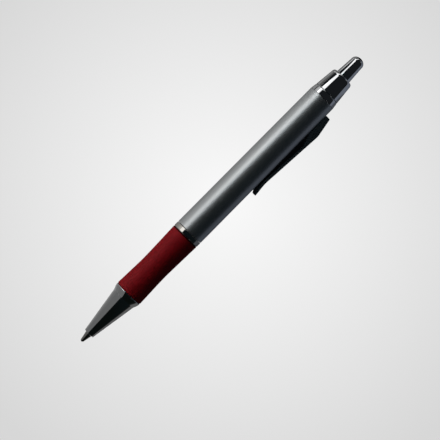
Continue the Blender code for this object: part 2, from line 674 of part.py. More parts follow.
def clip_half_width(station):
    """Half the clip's width, which narrows to the tail."""
    share = (station - CLIP_TAIL) / CLIP_LENGTH
    return (CLIP_TAIL_WIDTH + (CLIP_ROOT_WIDTH - CLIP_TAIL_WIDTH) * share) / 2


def clip_section(station, seated):
    """The clip's outline across the barrel as (sideways, outwards) points, the same number at each station.

    A seated section is hollowed to the barrel. Elsewhere the clip has its own thickness.
    """
    half = clip_half_width(station)
    outer = clip_outer(station)
    seat = barrel_radius(station) + CLIP_SEAT_GAP
    inner = max(outer - clip_thickness(station), seat)
    if station < CLIP_TAIL + CLIP_TAIL_ROUND:
        depth = 1 - (station - CLIP_TAIL) / CLIP_TAIL_ROUND
        half -= CLIP_TAIL_ROUND * (1 - sqrt(1 - depth**2))
    outline = []
    for step in range(ARC_STEPS + 1):
        sideways = half * (2 * step / ARC_STEPS - 1)
        hollow = sqrt(seat**2 - sideways**2)
        outline.append((sideways, hollow if seated else inner))
    outline += [(half, outer - CLIP_EDGE), (half - CLIP_EDGE, outer)]
    outline += [(CLIP_EDGE - half, outer), (-half, outer - CLIP_EDGE)]
    return outline


def clip_foot(clip_frame):
    """The foot under the clip's base and the hook that holds it under the barrel's wall."""
    top = barrel_radius(CLIP_FOOT_FRONT) + CLIP_ROOT_HEIGHT / 2
    hook_top = BARREL_BORE - CLIP_HOOK_DROP
    hook_bottom = hook_top - CLIP_HOOK_THICKNESS
    outline = [(CLIP_FOOT_REAR, top), (CLIP_FOOT_FRONT, top), (CLIP_FOOT_FRONT, hook_top)]
    outline += [(CLIP_HOOK_FRONT, hook_top), (CLIP_HOOK_FRONT, hook_bottom), (CLIP_FOOT_REAR, hook_bottom)]
    shape = bmesh.new()
    corners = [shape.verts.new((station, -CLIP_FOOT_WIDTH / 2, out)) for station, out in outline]
    side = shape.faces.new(corners)
    raised = bmesh.ops.extrude_face_region(shape, geom=[side])
    moved = [item for item in raised["geom"] if isinstance(item, bmesh.types.BMVert)]
    bmesh.ops.translate(shape, verts=moved, vec=(0, CLIP_FOOT_WIDTH, 0))
    bmesh.ops.recalc_face_normals(shape, faces=shape.faces)
    mesh = bpy.data.meshes.new("clip_foot_block")
    shape.to_mesh(mesh)
    shape.free()
    block = bpy.data.objects.new("clip_foot_block", mesh)
    bpy.context.scene.collection.objects.link(block)
    block.parent = clip_frame
    block.hide_render = True
    block.display_type = "WIRE"
    return block


def clip(clip_frame):
    """The sprung clip, with its origin on the line it rocks about, at the back of its base."""
    rock = Vector((CLIP_REAR, 0, barrel_radius(CLIP_REAR) + CLIP_SEAT_GAP))
    tail_stations = [CLIP_TAIL + CLIP_TAIL_ROUND * share for share in (0.05, 0.2, 0.5, 1.0)]
    curl_middle = (CLIP_TAIL + CLIP_TAIL_ROUND + CLIP_CONTACT) / 2
    arm_stations = [*tail_stations, curl_middle, CLIP_CONTACT, CLIP_BASE_FRONT - CLIP_THICKNESS]
    arm = [(station, False) for station in arm_stations]
    base = [(station, True) for station in (CLIP_BASE_FRONT, CLIP_KNEE, CLIP_REAR)]
    shape = bmesh.new()
    loops = []
    for station, seated in arm + base:
        outline = clip_section(station, seated)
        corners = [Vector((station, sideways, out)) - rock for sideways, out in outline]
        loops.append([shape.verts.new(corner) for corner in corners])
    shape.faces.new(loops[0])
    shape.faces.new(loops[-1])
    for loop, after in zip(loops, loops[1:]):
        for first in range(len(loop)):
            second = (first + 1) % len(loop)
            shape.faces.new((loop[first], loop[second], after[second], after[first]))
    bmesh.ops.recalc_face_normals(shape, faces=shape.faces)
    mesh = bpy.data.meshes.new("clip")
    shape.to_mesh(mesh)
    shape.free()
    shade(mesh)
    piece = place("clip", mesh, BLACK_LACQUER, clip_frame, rock)
    combine(piece, clip_foot(clip_frame), "UNION")
    return piece


def resting_roll(floor):
    """How far the clip turns below level before an edge of its knee touches the table."""
    half = clip_half_width(CLIP_KNEE)
    outer = clip_outer(CLIP_KNEE)
    rolls = []
    for out, sideways in ((outer - CLIP_EDGE, half), (outer, half - CLIP_EDGE)):
        rolls.append(asin(floor / hypot(out, sideways)) - atan2(sideways, out))
    return min(rolls)


def clip_reach(roll):
    """How far the clip's knee stands out sideways from the axis when it is turned down by roll."""
    half = clip_half_width(CLIP_KNEE)
    outer = clip_outer(CLIP_KNEE)
    edges = ((outer - CLIP_EDGE, half), (outer, half - CLIP_EDGE))
    return max(out * cos(roll) + sideways * sin(roll) for out, sideways in edges)


def build():
    """Make every piece round the pen's axis, which lies level with the barrel and clip on the table."""
    for old in list(bpy.data.objects):
        bpy.data.objects.remove(old, do_unlink=True)
    floor = barrel_radius(RING_REAR + SEAM) * cos(pi / OUTER_SIDES)
    roll = resting_roll(floor)
    middle = (clip_reach(roll) - floor) / 2
    axis = empty("pen_axis", None, (-PEN_LENGTH / 2, middle, floor))
    clip_frame = empty("clip_frame", axis, (0, 0, 0))
    clip_frame.rotation_euler = (pi / 2 + roll, 0, 0)
    for make in (nose_cone, grip_core, grip_sleeve, trim_ring, barrel_insert, end_ring, top_cap):
        make(axis)
    for make in (push_button, plunger, rotary_cam, return_spring):
        make(axis)
    for make in (refill_point, writing_ball, refill_neck, refill_tube, refill_plug, ink_paste):
        make(axis)
    barrel(axis, clip_frame)
    cam_sleeve(axis, clip_frame)
    clip(clip_frame)


build()
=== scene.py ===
"""The looks of a pushbutton ballpoint pen that lies on its side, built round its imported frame.

The pen's axis runs along X, with the writing tip towards -X and the button towards +X.
A station is a place along X. Radii are measured from the pen's axis. All sizes are in metres.
"""

import json
from math import atan2, cos, hypot, pi, radians, sin, sqrt, tan

import bmesh
import bpy
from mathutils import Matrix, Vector


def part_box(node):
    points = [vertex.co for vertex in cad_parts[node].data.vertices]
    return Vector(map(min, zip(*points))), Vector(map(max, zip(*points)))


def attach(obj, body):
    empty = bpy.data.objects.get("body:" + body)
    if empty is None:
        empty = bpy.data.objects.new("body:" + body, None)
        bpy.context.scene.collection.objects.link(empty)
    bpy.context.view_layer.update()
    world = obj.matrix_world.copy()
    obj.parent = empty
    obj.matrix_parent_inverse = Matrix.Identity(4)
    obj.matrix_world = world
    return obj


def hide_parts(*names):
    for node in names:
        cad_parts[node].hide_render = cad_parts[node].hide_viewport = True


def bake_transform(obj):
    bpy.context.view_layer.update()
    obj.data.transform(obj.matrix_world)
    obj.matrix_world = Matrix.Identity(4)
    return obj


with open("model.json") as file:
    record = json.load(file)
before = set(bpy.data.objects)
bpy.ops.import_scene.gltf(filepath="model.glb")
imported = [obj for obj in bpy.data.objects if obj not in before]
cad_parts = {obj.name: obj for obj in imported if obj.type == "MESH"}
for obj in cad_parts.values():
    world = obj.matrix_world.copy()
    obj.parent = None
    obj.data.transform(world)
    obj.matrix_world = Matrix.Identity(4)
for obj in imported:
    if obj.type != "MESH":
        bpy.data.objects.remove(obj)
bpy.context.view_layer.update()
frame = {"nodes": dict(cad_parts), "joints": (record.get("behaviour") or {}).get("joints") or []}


def ends(node):
    """The stations of a node's front and back."""
    low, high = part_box(node)
    return low.x, high.x


def pen_axis():
    """A point on the pen's axis at station 0."""
    low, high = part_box("barrel")
    return Vector((0, (low.y + high.y) / 2, (low.z + high.z) / 2))


AXIS = pen_axis()
HAIR = 0.00001


def radius_at(node, station, pick=max):
    """The largest radius of a node's points next to a station, or the smallest with pick=min."""
    points = [point.co - AXIS for point in frame["nodes"][node].data.vertices]
    nearest = min(abs(point.x - station) for point in points)
    ring = [point for point in points if abs(point.x - station) < nearest + HAIR]
    return pick(hypot(point.y, point.z) for point in ring)


def joint(name):
    """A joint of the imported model."""
    return next(row for row in frame["joints"] if row["name"] == name)


# Stations of the pieces, front to back
BALL_FRONT, BALL_REAR = ends("writing_ball")
POINT_FRONT, POINT_REAR = ends("refill_point")
NOSE_FRONT, NOSE_REAR = ends("nose_cone")
GRIP_FRONT, GRIP_REAR = ends("grip_sleeve")
RING_FRONT, RING_REAR = ends("trim_ring")
BARREL_FRONT, BARREL_REAR = ends("barrel")
BAND_FRONT, BAND_REAR = ends("end_ring")
SPIGOT_FRONT, CAP_REAR = ends("top_cap")
FLANGE_FRONT, BUTTON_REAR = ends("push_button")
CLIP_FRONT, CLIP_REAR = ends("clip")
SPRING_FRONT, SPRING_REAR = ends("return_spring")
CORE_FRONT = ends("grip_core")[0]
INSERT_REAR = ends("barrel_insert")[1]
NECK_FRONT = ends("refill_neck")[0]
SEAM = BARREL_FRONT - RING_REAR

# Nose and writing point
NOSE_LIP = 0.00015
NOSE_COLLAR_LENGTH = 0.0025
NOSE_EDGE = 0.00027
NOSE_EDGE_ROOM = 0.0006
NOSE_STEP_ROOM = 0.0002
NOSE_MOUTH_RADIUS = radius_at("nose_cone", NOSE_FRONT + NOSE_LIP)
NOSE_CONE_RADIUS = radius_at("nose_cone", NOSE_REAR - NOSE_COLLAR_LENGTH)
NOSE_COLLAR_RADIUS = radius_at("nose_cone", NOSE_REAR)
NOSE_SOCKET = radius_at("nose_cone", NOSE_REAR, min)
POINT_BORE = radius_at("nose_cone", NOSE_FRONT, min)
SPRING_BORE = radius_at("nose_cone", SPRING_FRONT)
NECK_PASSAGE = radius_at("nose_cone", SPRING_FRONT, min)
MOUTH_REAR = NECK_FRONT + joint("button_press")["range_m"][0] - NOSE_STEP_ROOM
BALL_RADIUS = (BALL_REAR - BALL_FRONT) / 2
BALL_CLEARANCE = 0.00004
POINT_TAPER_LENGTH = 0.0036
POINT_LENGTH = 0.0090
POINT_RIM_WALL = 0.00008
POINT_RADIUS = radius_at("refill_point", BALL_FRONT + POINT_LENGTH)
POINT_SHANK = radius_at("refill_point", POINT_REAR)
POINT_CHANNEL = radius_at("refill_point", POINT_REAR, min)

# Grip
GRIP_WAIST_OFFSET = 0.0129
GRIP_WAIST_RADIUS = 0.0051
GRIP_WAIST_ROUND = 0.0025
GRIP_EDGE = 0.00045
GRIP_REAR_EDGE = 0.0001
GRIP_LIP_DROP = 0.0002
# Where the grip's colour darkens to painted shade at its back end, in the seam by the ring
GRIP_PAINTED_SHADE_FRONT = GRIP_REAR - 0.0004
GRIP_PAINTED_SHADE_REAR = GRIP_REAR - 0.0002
GRIP_PAINTED_SHADE_TONE = 0.15
GRIP_FRONT_RADIUS = 0.0055
GRIP_BORE = radius_at("grip_sleeve", GRIP_FRONT, min)
GRIP_STEPS = 72

# Ring, barrel and end band
RING_EDGE = 0.00016
RING_GROOVE = 0.00016
RING_SEAM = 0.00006
RING_BORE = radius_at("trim_ring", RING_FRONT, min)
BARREL_FRONT_RADIUS = radius_at("barrel", BARREL_FRONT)
BARREL_REAR_RADIUS = radius_at("barrel", BARREL_REAR)
BARREL_FRONT_BORE = radius_at("barrel", BARREL_FRONT, min)
BARREL_BORE = radius_at("barrel", BARREL_REAR, min)
BARREL_EDGE = 0.00012
BAND_REAR_RADIUS = radius_at("end_ring", BAND_REAR)
BAND_BORE = radius_at("end_ring", BAND_REAR, min)
BAND_FRONT_EDGE = 0.00006
BAND_REAR_EDGE = 0.0006

# Cap and button
CAP_FRONT_RADIUS = radius_at("top_cap", BAND_REAR + SEAM)
CAP_REAR_RADIUS = 0.00435
CAP_EDGE_LENGTH = 0.0013
CAP_EDGE_WIDTH = 0.00075
CAP_FRONT_EDGE = 0.00012
CAP_HOLE_EDGE = 0.00012
CAP_END_WALL = 0.0016
CAP_SPIGOT = radius_at("top_cap", SPIGOT_FRONT)
CAP_BORE = radius_at("top_cap", SPIGOT_FRONT, min)
CAP_HOLE = radius_at("top_cap", CAP_REAR, min)
BUTTON_DOME_LENGTH = 0.0020
BUTTON_FLANGE_LENGTH = 0.0015
BUTTON_SOCKET_REACH = 0.0040
BUTTON_FLANGE_RADIUS = radius_at("push_button", FLANGE_FRONT)
BUTTON_BORE = radius_at("push_button", FLANGE_FRONT, min)
BUTTON_RADIUS = radius_at("push_button", CAP_REAR)
BUTTON_END_RADIUS = radius_at("push_button", BUTTON_REAR - BUTTON_DOME_LENGTH)
DOME_STEPS = 24

# Clip: heights above the barrel, and offsets from its tail or its back end
CLIP_SIDEWAYS = Vector(joint("clip_flex")["axis"]).normalized()
CLIP_OUTWARD = Vector((1, 0, 0)).cross(CLIP_SIDEWAYS)
CLIP_TAIL_WIDTH = 0.0040
CLIP_ROOT_WIDTH = 0.0050
CLIP_THICKNESS = 0.0014
CLIP_TAIL_HEIGHT = 0.0026
CLIP_TAIL_THICKNESS = 0.0008
CLIP_CONTACT_HEIGHT = 0.0016
CLIP_KNEE_HEIGHT = 0.0032
CLIP_ROOT_HEIGHT = 0.00172
CLIP_TAIL_FRONT = CLIP_FRONT + 0.00033
CLIP_CONTACT = CLIP_FRONT + 0.0063
CLIP_KNEE = CLIP_REAR - 0.0072
CLIP_BASE_FRONT = CLIP_REAR - 0.0088
CLIP_THROAT_FRONT = CLIP_BASE_FRONT - 0.0045
CLIP_TAIL_TAPER = 0.0045
CLIP_TAIL_BLUNT = 0.0006
CLIP_END_ROUND = 0.0002
CLIP_OUTER_EDGE = 0.00055
CLIP_INNER_EDGE = 0.00015
CLIP_CROWN = 0.00008
CLIP_BEND = 0.0009
CLIP_BEND_SAMPLES = 12
CLIP_SEAT_GAP = 0.0001
CLIP_ACROSS_STEPS = 10
CLIP_LEAST_STEP = HAIR / 10
CLIP_TOP_SHARES = (1, 0.45, 0, -0.45, -1)
CLIP_FOOT_REAR = CLIP_REAR - 0.0022
CLIP_FOOT_FRONT = CLIP_FOOT_REAR - 0.0031
CLIP_HOOK_FRONT = CLIP_FOOT_FRONT - 0.0016
CLIP_FOOT_WIDTH = 0.0024
CLIP_HOOK_OUTER = 0.00425
CLIP_HOOK_INNER = 0.0038
SLOT_CLEARANCE = 0.0002

# Return spring
SPRING_WIRE_RADIUS = 0.0002
SPRING_RADIUS = 0.0021
SPRING_TURNS = 9.5
SPRING_STEPS_PER_TURN = 28
SPRING_WIRE_SIDES = 12

# Smoothness of the meshes, and how much of the shorter straight beside it an arc may take
SIDES = 128
FINE_SIDES = 64
ARC_STEPS = 8
ARC_SHARE = 0.45
SUPPORT = 0.00006
SUPPORT_PARTS = 10
SHARP_ANGLE = radians(16)

# Camera, over the middle of the picture
CAMERA_TURN = radians(45.27)
CAMERA_ALONG = BALL_FRONT + 0.0651
CAMERA_ASIDE = -0.00469
CAMERA_HEIGHT = 0.58
CAMERA_PLACE = AXIS + Vector((CAMERA_ALONG, CAMERA_ASIDE, CAMERA_HEIGHT))
CAMERA_LENS = 134
CAMERA_SENSOR = 36

# Lights along the pen: angle from straight up, positive away from the clip, half angle, front, rear, radiance
LIGHT_DISTANCE = 0.5
SOFTBOX_REAR = 0.205
SOFTBOX_RADIANCE = 1.15
SOFTBOX = (radians(51), radians(14), -0.10, SOFTBOX_REAR, SOFTBOX_RADIANCE)
TOP_STRIP = (radians(34.5), radians(2.5), 0.03, 0.155, SOFTBOX_RADIANCE)
TOP_STRIP_TINT = (0.78, 1.0, 1.03)
TAIL_BOX = (radians(56.5), radians(9.5), SOFTBOX_REAR, 2.4, SOFTBOX_RADIANCE)
GREY_CARD = (radians(56.5), radians(33.5), -1.6, -0.12, 0.134)

# Square lights for dull surfaces, and lights beyond the ends for polished ones
FILL_ZENITH = radians(75)
FILL_HALF_ANGLE = radians(17)
FILL_RADIANCE = 3.1
CLIP_FILL_ZENITH = radians(-72)
CLIP_FILL_RADIANCE = 0.18
CLIP_LIGHT_ZENITH = radians(-45)
CLIP_LIGHT_RADIANCE = 0.8
END_BOX_AWAY = 0.92
END_BOX_ASIDE = 0.50
END_BOX_HEIGHT = 0.16
END_BOX_SIZE = 0.26
FRONT_BOX_RADIANCE = 0.70
REAR_BOX_RADIANCE = 0.20

# Dark room: radiances by how far a direction leans to the back
ROOM_RADIANCE = (0.005, 0.008, 0.010)
ROOM_FRONT_RADIANCE = (0.0030, 0.0042, 0.0038)
ROOM_REAR_RADIANCE = (0.0093, 0.0103, 0.0120)
ROOM_TONES = ((-0.3, ROOM_FRONT_RADIANCE), (-0.1, ROOM_RADIANCE))
ROOM_TONES += ((0.12, ROOM_RADIANCE), (0.2, ROOM_REAR_RADIANCE))

# Floor, glowing with a painted pool of light brightest in the middle, and how far below the pen it and the
# mirrored cards lie
FLOOR_HALF = 3.0
FLOOR_DROP = 0.00005
FLOOR_PAINTED_POOL_TONE = 0.95
FLOOR_FAR_TONE = 0.68
FLOOR_FADE = 0.11
SHEEN_CARD_DROP = 0.0004

# Shade under the pen: station, half width and strength
SHADE_LINE = ((NOSE_FRONT, 0.0012, 0.15), (NOSE_REAR, 0.0045, 0.55), (GRIP_REAR, 0.0048, 0.65))
SHADE_LINE += ((BARREL_REAR, 0.0048, 0.65), (CAP_REAR, 0.0036, 0.40), (BUTTON_REAR, 0.0018, 0.10))
SHADE_PROFILE = ((-1, 0), (-0.6, 0.6), (0, 1), (0.6, 0.6), (1, 0))
SHADE_LIFT = 0.00002

# Tones of the glowing table strips that the polished sides mirror, by distance from the pen, negative on the
# clip's side. The dark tones beside and under the pen are the pen's painted shadow on the table.
SHEEN_REACH = 0.11
# The darkest tone: the pen's painted shadow under it, and the dark far table on the nose's clip side
DARK_TABLE_AND_PEN_SHADOW = 0.01
NOSE_SHEEN = ((-0.045, DARK_TABLE_AND_PEN_SHADOW), (-0.032, 0.115), (-0.008, 0.12), (-0.005, DARK_TABLE_AND_PEN_SHADOW))
NOSE_SHEEN += ((0.005, DARK_TABLE_AND_PEN_SHADOW), (0.008, 0.30), (0.019, 0.16))
BARREL_SHEEN = ((-0.020, 0.080), (-0.011, 0.072), (-0.0085, 0.030), (-0.005, DARK_TABLE_AND_PEN_SHADOW))
BARREL_SHEEN += ((0.005, DARK_TABLE_AND_PEN_SHADOW), (0.012, 0.24), (0.050, 0.33))
CAP_SHEEN = ((-0.020, 0.15), (-0.008, 0.13), (-0.005, DARK_TABLE_AND_PEN_SHADOW))
CAP_SHEEN += ((0.005, DARK_TABLE_AND_PEN_SHADOW), (0.0075, 0.15), (0.013, 0.27), (0.025, 0.14), (0.060, 0.08))
BUTTON_SHEEN = ((0.005, DARK_TABLE_AND_PEN_SHADOW), (0.0075, 0.12), (0.013, 0.15), (0.025, 0.42), (0.060, 0.60))
BUTTON_SHEEN_FRONT = 0.0595
BUTTON_SHEEN_REAR = 0.0695
BUTTON_SHEEN_SLANT = 0.217
BUTTON_SHEEN_LIFT = 0.0001
PLAIN = (1.0, 1.0, 1.0)
COOL = (0.90, 1.0, 1.22)
BAND_SHEEN_REACH = 0.0055

# Boards beside the pen: side, front, rear, height, and tones at foot and top
BOARD_DISTANCE = 0.5
BARREL_BOARD = (1, -0.08, 0.14, 0.233, 0.38, 0.62)
BAND_BOARD = (1, 0.195, 0.45, 0.30, 0.42, 0.62)
LOW_BOARD = (-1, 0.10, 0.50, 0.035, 0.15, 0.15)

# Dark flag that keeps the softbox's lower part off the button: front, rear, foot and top
FLAG_DISTANCE = 0.38
BUTTON_FLAG = (0.134, 0.157, 0.165, 0.274)

# Finishes: how metallic, what part of the noise's range is used, and the darker and lighter tone of each
METAL = 1.0
NO_METAL = 0.0
FINISH_IOR = 1.5
NOISE_LOW = 0.3
NOISE_HIGH = 0.7
NOISE_DETAIL = 3.0
FINE_DETAIL = 5
EVEN = (1, 1, 1)
CHROME_TONES = ((0.80, 0.81, 0.82), (0.86, 0.87, 0.88))
GREY_CHROME_TONES = ((0.66, 0.63, 0.58), (0.72, 0.69, 0.64))
SATIN_TONES = ((0.71, 0.735, 0.74), (0.77, 0.795, 0.80))
RUBBER_TONES = ((0.31, 0.0065, 0.012), (0.38, 0.0090, 0.015))
LACQUER_TONES = ((0.020, 0.042, 0.056), (0.026, 0.052, 0.068))
STEEL_TONES = ((0.50, 0.51, 0.53), (0.60, 0.61, 0.63))
BALL_TONES = ((0.42, 0.43, 0.45), (0.52, 0.53, 0.55))
POINT_TONES = ((0.54, 0.53, 0.50), (0.64, 0.63, 0.60))
GREY_TONES = ((0.26, 0.26, 0.27), (0.33, 0.33, 0.34))
WHITE_TONES = ((0.71, 0.71, 0.69), (0.79, 0.79, 0.77))
BRASS_TONES = ((0.68, 0.51, 0.24), (0.80, 0.63, 0.35))
INK_TONES = ((0.006, 0.008, 0.045), (0.012, 0.014, 0.070))
DRAWN_ROUGHNESS = 0.25
BALL_ROUGHNESS = 0.12
POINT_ROUGHNESS = 0.10


def rounded(corners):
    """A closed outline from (along, out, bend) corners, each bent to an arc.

    A point close beside each arc keeps the straight runs flat. A corner with no bend stays as it is.
    """
    outline = []
    for index, (along, out, bend) in enumerate(corners):
        here = Vector((along, out))
        if bend == 0:
            outline.append(here)
            continue
        to_last = Vector(corners[index - 1][:2]) - here
        to_next = Vector(corners[(index + 1) % len(corners)][:2]) - here
        half = to_last.angle(to_next) / 2
        longest = min(to_last.length, to_next.length) * ARC_SHARE
        reach = min(bend / tan(half), longest)
        to_last.normalize()
        to_next.normalize()
        support = min(SUPPORT, longest / SUPPORT_PARTS)
        centre = here + (to_last + to_next).normalized() * reach / cos(half)
        spoke = here + to_last * reach - centre
        last_spoke = here + to_next * reach - centre
        start = atan2(spoke.y, spoke.x)
        sweep = atan2(spoke.x * last_spoke.y - spoke.y * last_spoke.x, spoke.dot(last_spoke))
        outline.append(here + to_last * (reach + support))
        for step in range(ARC_STEPS + 1):
            angle = start + sweep * step / ARC_STEPS
            outline.append(centre + spoke.length * Vector((cos(angle), sin(angle))))
        outline.append(here + to_next * (reach + support))
    return outline


def shaded(mesh):
    """Smooth the round faces and keep true edges sharp."""
    mesh.shade_smooth()
    mesh.set_sharp_from_angle(angle=SHARP_ANGLE)
    return mesh


def mesh_from(name, shape):
    """A shaded mesh from a bmesh with its faces turned outwards."""
    bmesh.ops.recalc_face_normals(shape, faces=shape.faces)
    mesh = bpy.data.meshes.new(name)
    shape.to_mesh(mesh)
    shape.free()
    return shaded(mesh)


def turned(name, outline, sides=SIDES):
    """A turned mesh from a closed loop of (station, radius) points, with radius 0 on the axis."""
    shape = bmesh.new()
    rings = []
    for station, radius in outline:
        if radius < HAIR:
            rings.append([shape.verts.new(AXIS + Vector((station, 0, 0)))])
            continue
        ring = []
        for side in range(sides):
            angle = 2 * pi * side / sides
            ring.append(shape.verts.new(AXIS + Vector((station, radius * cos(angle), radius * sin(angle)))))
        rings.append(ring)
    for ring, after in zip(rings, rings[1:] + rings[:1]):
        if len(ring) == 1 and len(after) == 1:
            continue
        for side in range(sides):
            turn = (side + 1) % sides
            corners = [ring[side % len(ring)], ring[turn % len(ring)]]
            corners += [after[turn % len(after)], after[side % len(after)]]
            shape.faces.new(list(dict.fromkeys(corners)))
    return mesh_from(name, shape)


def combined(base, tool, operation):
    """A mesh with a tool mesh cut out of it or joined to it."""
    piece = bpy.data.objects.new(base.name, base)
    cutter = bpy.data.objects.new(tool.name, tool)
    for item in (piece, cutter):
        bpy.context.scene.collection.objects.link(item)
    modifier = piece.modifiers.new(operation.title(), "BOOLEAN")
    modifier.operation = operation
    modifier.solver = "EXACT"
    modifier.object = cutter
    bpy.context.view_layer.update()
    evaluated = piece.evaluated_get(bpy.context.evaluated_depsgraph_get())
    result = bpy.data.meshes.new_from_object(evaluated)
    bpy.data.objects.remove(piece)
    bpy.data.objects.remove(cutter)
    name = base.name
    bpy.data.meshes.remove(base)
    bpy.data.meshes.remove(tool)
    result.name = name
    return shaded(result)


def add(mesh, finish, body, slot, *nodes):
    """Show a mesh as a piece that rides on a body and stands for CAD nodes."""
    piece = bpy.data.objects.new(mesh.name, mesh)
    bpy.context.scene.collection.objects.link(piece)
    mesh.materials.clear()
    mesh.materials.append(finish)
    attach(piece, body)
    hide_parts(*nodes)
    return piece


def ramp(factor, stops):
    """A colour for a factor, from (position, tone, tint) stops."""
    tree = factor.id_data
    node = tree.nodes.new("ShaderNodeValToRGB")
    elements = node.color_ramp.elements
    while len(elements) < len(stops):
        elements.new(1.0)
    for element, (position, tone, tint) in zip(elements, stops):
        element.position = position
        element.color = (*[tone * part for part in tint], 1)
    tree.links.new(factor, node.inputs["Fac"])
    return node.outputs["Color"]


def scaled_between(value, low, high, first=0, last=1):
    """A value from low to high, brought to a value from first to last."""
    tree = value.id_data
    node = tree.nodes.new("ShaderNodeMapRange")
    node.inputs["From Min"].default_value = low
    node.inputs["From Max"].default_value = high
    node.inputs["To Min"].default_value = first
    node.inputs["To Max"].default_value = last
    tree.links.new(value, node.inputs["Value"])
    return node.outputs["Result"]


def coordinate(places, name):
    """One coordinate of a place."""
    tree = places.id_data
    parts = tree.nodes.new("ShaderNodeSeparateXYZ")
    tree.links.new(places, parts.inputs["Vector"])
    return parts.outputs[name]


def new_finish(name, metallic):
    """A material, its Principled shader and its object coordinates."""
    material = bpy.data.materials.new(name)
    material.use_nodes = True
    tree = material.node_tree
    shader = tree.nodes["Principled BSDF"]
    shader.inputs["Metallic"].default_value = metallic
    shader.inputs["IOR"].default_value = FINISH_IOR
    places = tree.nodes.new("ShaderNodeTexCoord").outputs["Object"]
    return material, shader, places


def noise(places, size, stretch=EVEN, detail=NOISE_DETAIL):
    """Noise with grains of a size in metres, drawn out along X, Y and Z by stretch."""
    tree = places.id_data
    scaling = tree.nodes.new("ShaderNodeMapping")
    scaling.inputs["Scale"].default_value = [1 / (size * factor) for factor in stretch]
    texture = tree.nodes.new("ShaderNodeTexNoise")
    texture.inputs["Scale"].default_value = 1.0
    texture.inputs["Detail"].default_value = detail
    tree.links.new(places, scaling.inputs["Vector"])
    tree.links.new(scaling.outputs["Vector"], texture.inputs["Vector"])
    return texture.outputs["Fac"]


def tinted(shader, factor, tones):
    """Vary a shader's colour between a darker and a lighter tone."""
    darker, lighter = tones
    colour = ramp(factor, [(NOISE_LOW, 1, darker), (NOISE_HIGH, 1, lighter)])
    shader.id_data.links.new(colour, shader.inputs["Base Color"])


def roughened(shader, factor, low, high):
    """Vary a shader's roughness between two values."""
    roughness = scaled_between(factor, NOISE_LOW, NOISE_HIGH, low, high)
    shader.id_data.links.new(roughness, shader.inputs["Roughness"])


def darkened(shader, share):
    """Bring a shader's colour down to a share of itself."""
    tree = shader.id_data
    colour = shader.inputs["Base Color"].links[0].from_socket
    scaling = tree.nodes.new("ShaderNodeVectorMath")
    scaling.operation = "SCALE"
    tree.links.new(colour, scaling.inputs[0])
    tree.links.new(share, scaling.inputs["Scale"])
    tree.links.new(scaling.outputs["Vector"], shader.inputs["Base Color"])


def bumped(shader, *layers):
    """Raise a surface by (height, depth) layers, with depths in metres."""
    tree = shader.id_data
    normal = None
    for height, depth in layers:
        bump = tree.nodes.new("ShaderNodeBump")
        bump.inputs["Strength"].default_value = 1.0
        bump.inputs["Distance"].default_value = depth
        tree.links.new(height, bump.inputs["Height"])
        if normal is not None:
            tree.links.new(normal, bump.inputs["Normal"])
        normal = bump.outputs["Normal"]
    tree.links.new(normal, shader.inputs["Normal"])


def chrome(name, tones):
    """Polished plating, with faint turning lines and a little haze."""
    cloud_size = 0.004
    haze_size = 0.0015
    haze_stretch = (1, 4, 4)
    haze = (0.02, 0.05)
    line_size = 0.00008
    line_stretch = (1, 60, 60)
    line_depth = 0.00000006
    wave_size = 0.003
    wave_depth = 0.0000012
    material, shader, places = new_finish(name, METAL)
    tinted(shader, noise(places, cloud_size), tones)
    roughened(shader, noise(places, haze_size, haze_stretch), *haze)
    lines = noise(places, line_size, line_stretch)
    waves = noise(places, wave_size)
    bumped(shader, (waves, wave_depth), (lines, line_depth))
    return material


def satin_silver():
    """Satin metallic lacquer with fine flakes."""
    flake_size = 0.00016
    patch_size = 0.0009
    satin = (0.365, 0.395)
    grain_size = 0.00012
    grain_depth = 0.0000004
    material, shader, places = new_finish("satin_silver", METAL)
    tinted(shader, noise(places, flake_size, detail=FINE_DETAIL), SATIN_TONES)
    roughened(shader, noise(places, patch_size), *satin)
    bumped(shader, (noise(places, grain_size), grain_depth))
    return material


def red_rubber():
    """Soft dark red rubber with a fine moulded grain, and painted shade that darkens its back end by the
    ring.
    """
    mottle_size = 0.0016
    patch_size = 0.0008
    dull = (0.56, 0.68)
    gloss = 0.10
    grain_size = 0.00022
    grain_depth = 0.000004
    wave_size = 0.0035
    wave_depth = 0.000006
    material, shader, places = new_finish("red_rubber", NO_METAL)
    tinted(shader, noise(places, mottle_size, detail=FINE_DETAIL), RUBBER_TONES)
    # Painted shade: the colour darkens towards the grip's back end, in the seam by the ring
    along = coordinate(places, "X")
    darkened(shader, scaled_between(along, GRIP_PAINTED_SHADE_FRONT, GRIP_PAINTED_SHADE_REAR, 1, GRIP_PAINTED_SHADE_TONE))
    roughened(shader, noise(places, patch_size), *dull)
    shader.inputs["Specular IOR Level"].default_value = gloss
    grain = noise(places, grain_size)
    waves = noise(places, wave_size)
    bumped(shader, (grain, grain_depth), (waves, wave_depth))
    return material


def black_lacquer():
    """Near-black lacquer with a slight ripple."""
    cloud_size = 0.002
    ripple_size = 0.0012
    ripple_depth = 0.000002
    gloss = (0.22, 0.32)
    material, shader, places = new_finish("black_lacquer", NO_METAL)
    tinted(shader, noise(places, cloud_size), LACQUER_TONES)
    roughened(shader, noise(places, ripple_size), *gloss)
    bumped(shader, (noise(places, ripple_size), ripple_depth))
    return material


def moulded(name, tones):
    """Moulded plastic with a fine spark-eroded grain."""
    cloud_size = 0.0025
    patch_size = 0.0006
    satin = (0.42, 0.55)
    grain_size = 0.0002
    grain_depth = 0.000004
    material, shader, places = new_finish(name, NO_METAL)
    tinted(shader, noise(places, cloud_size), tones)
    roughened(shader, noise(places, patch_size), *satin)
    bumped(shader, (noise(places, grain_size), grain_depth))
    return material


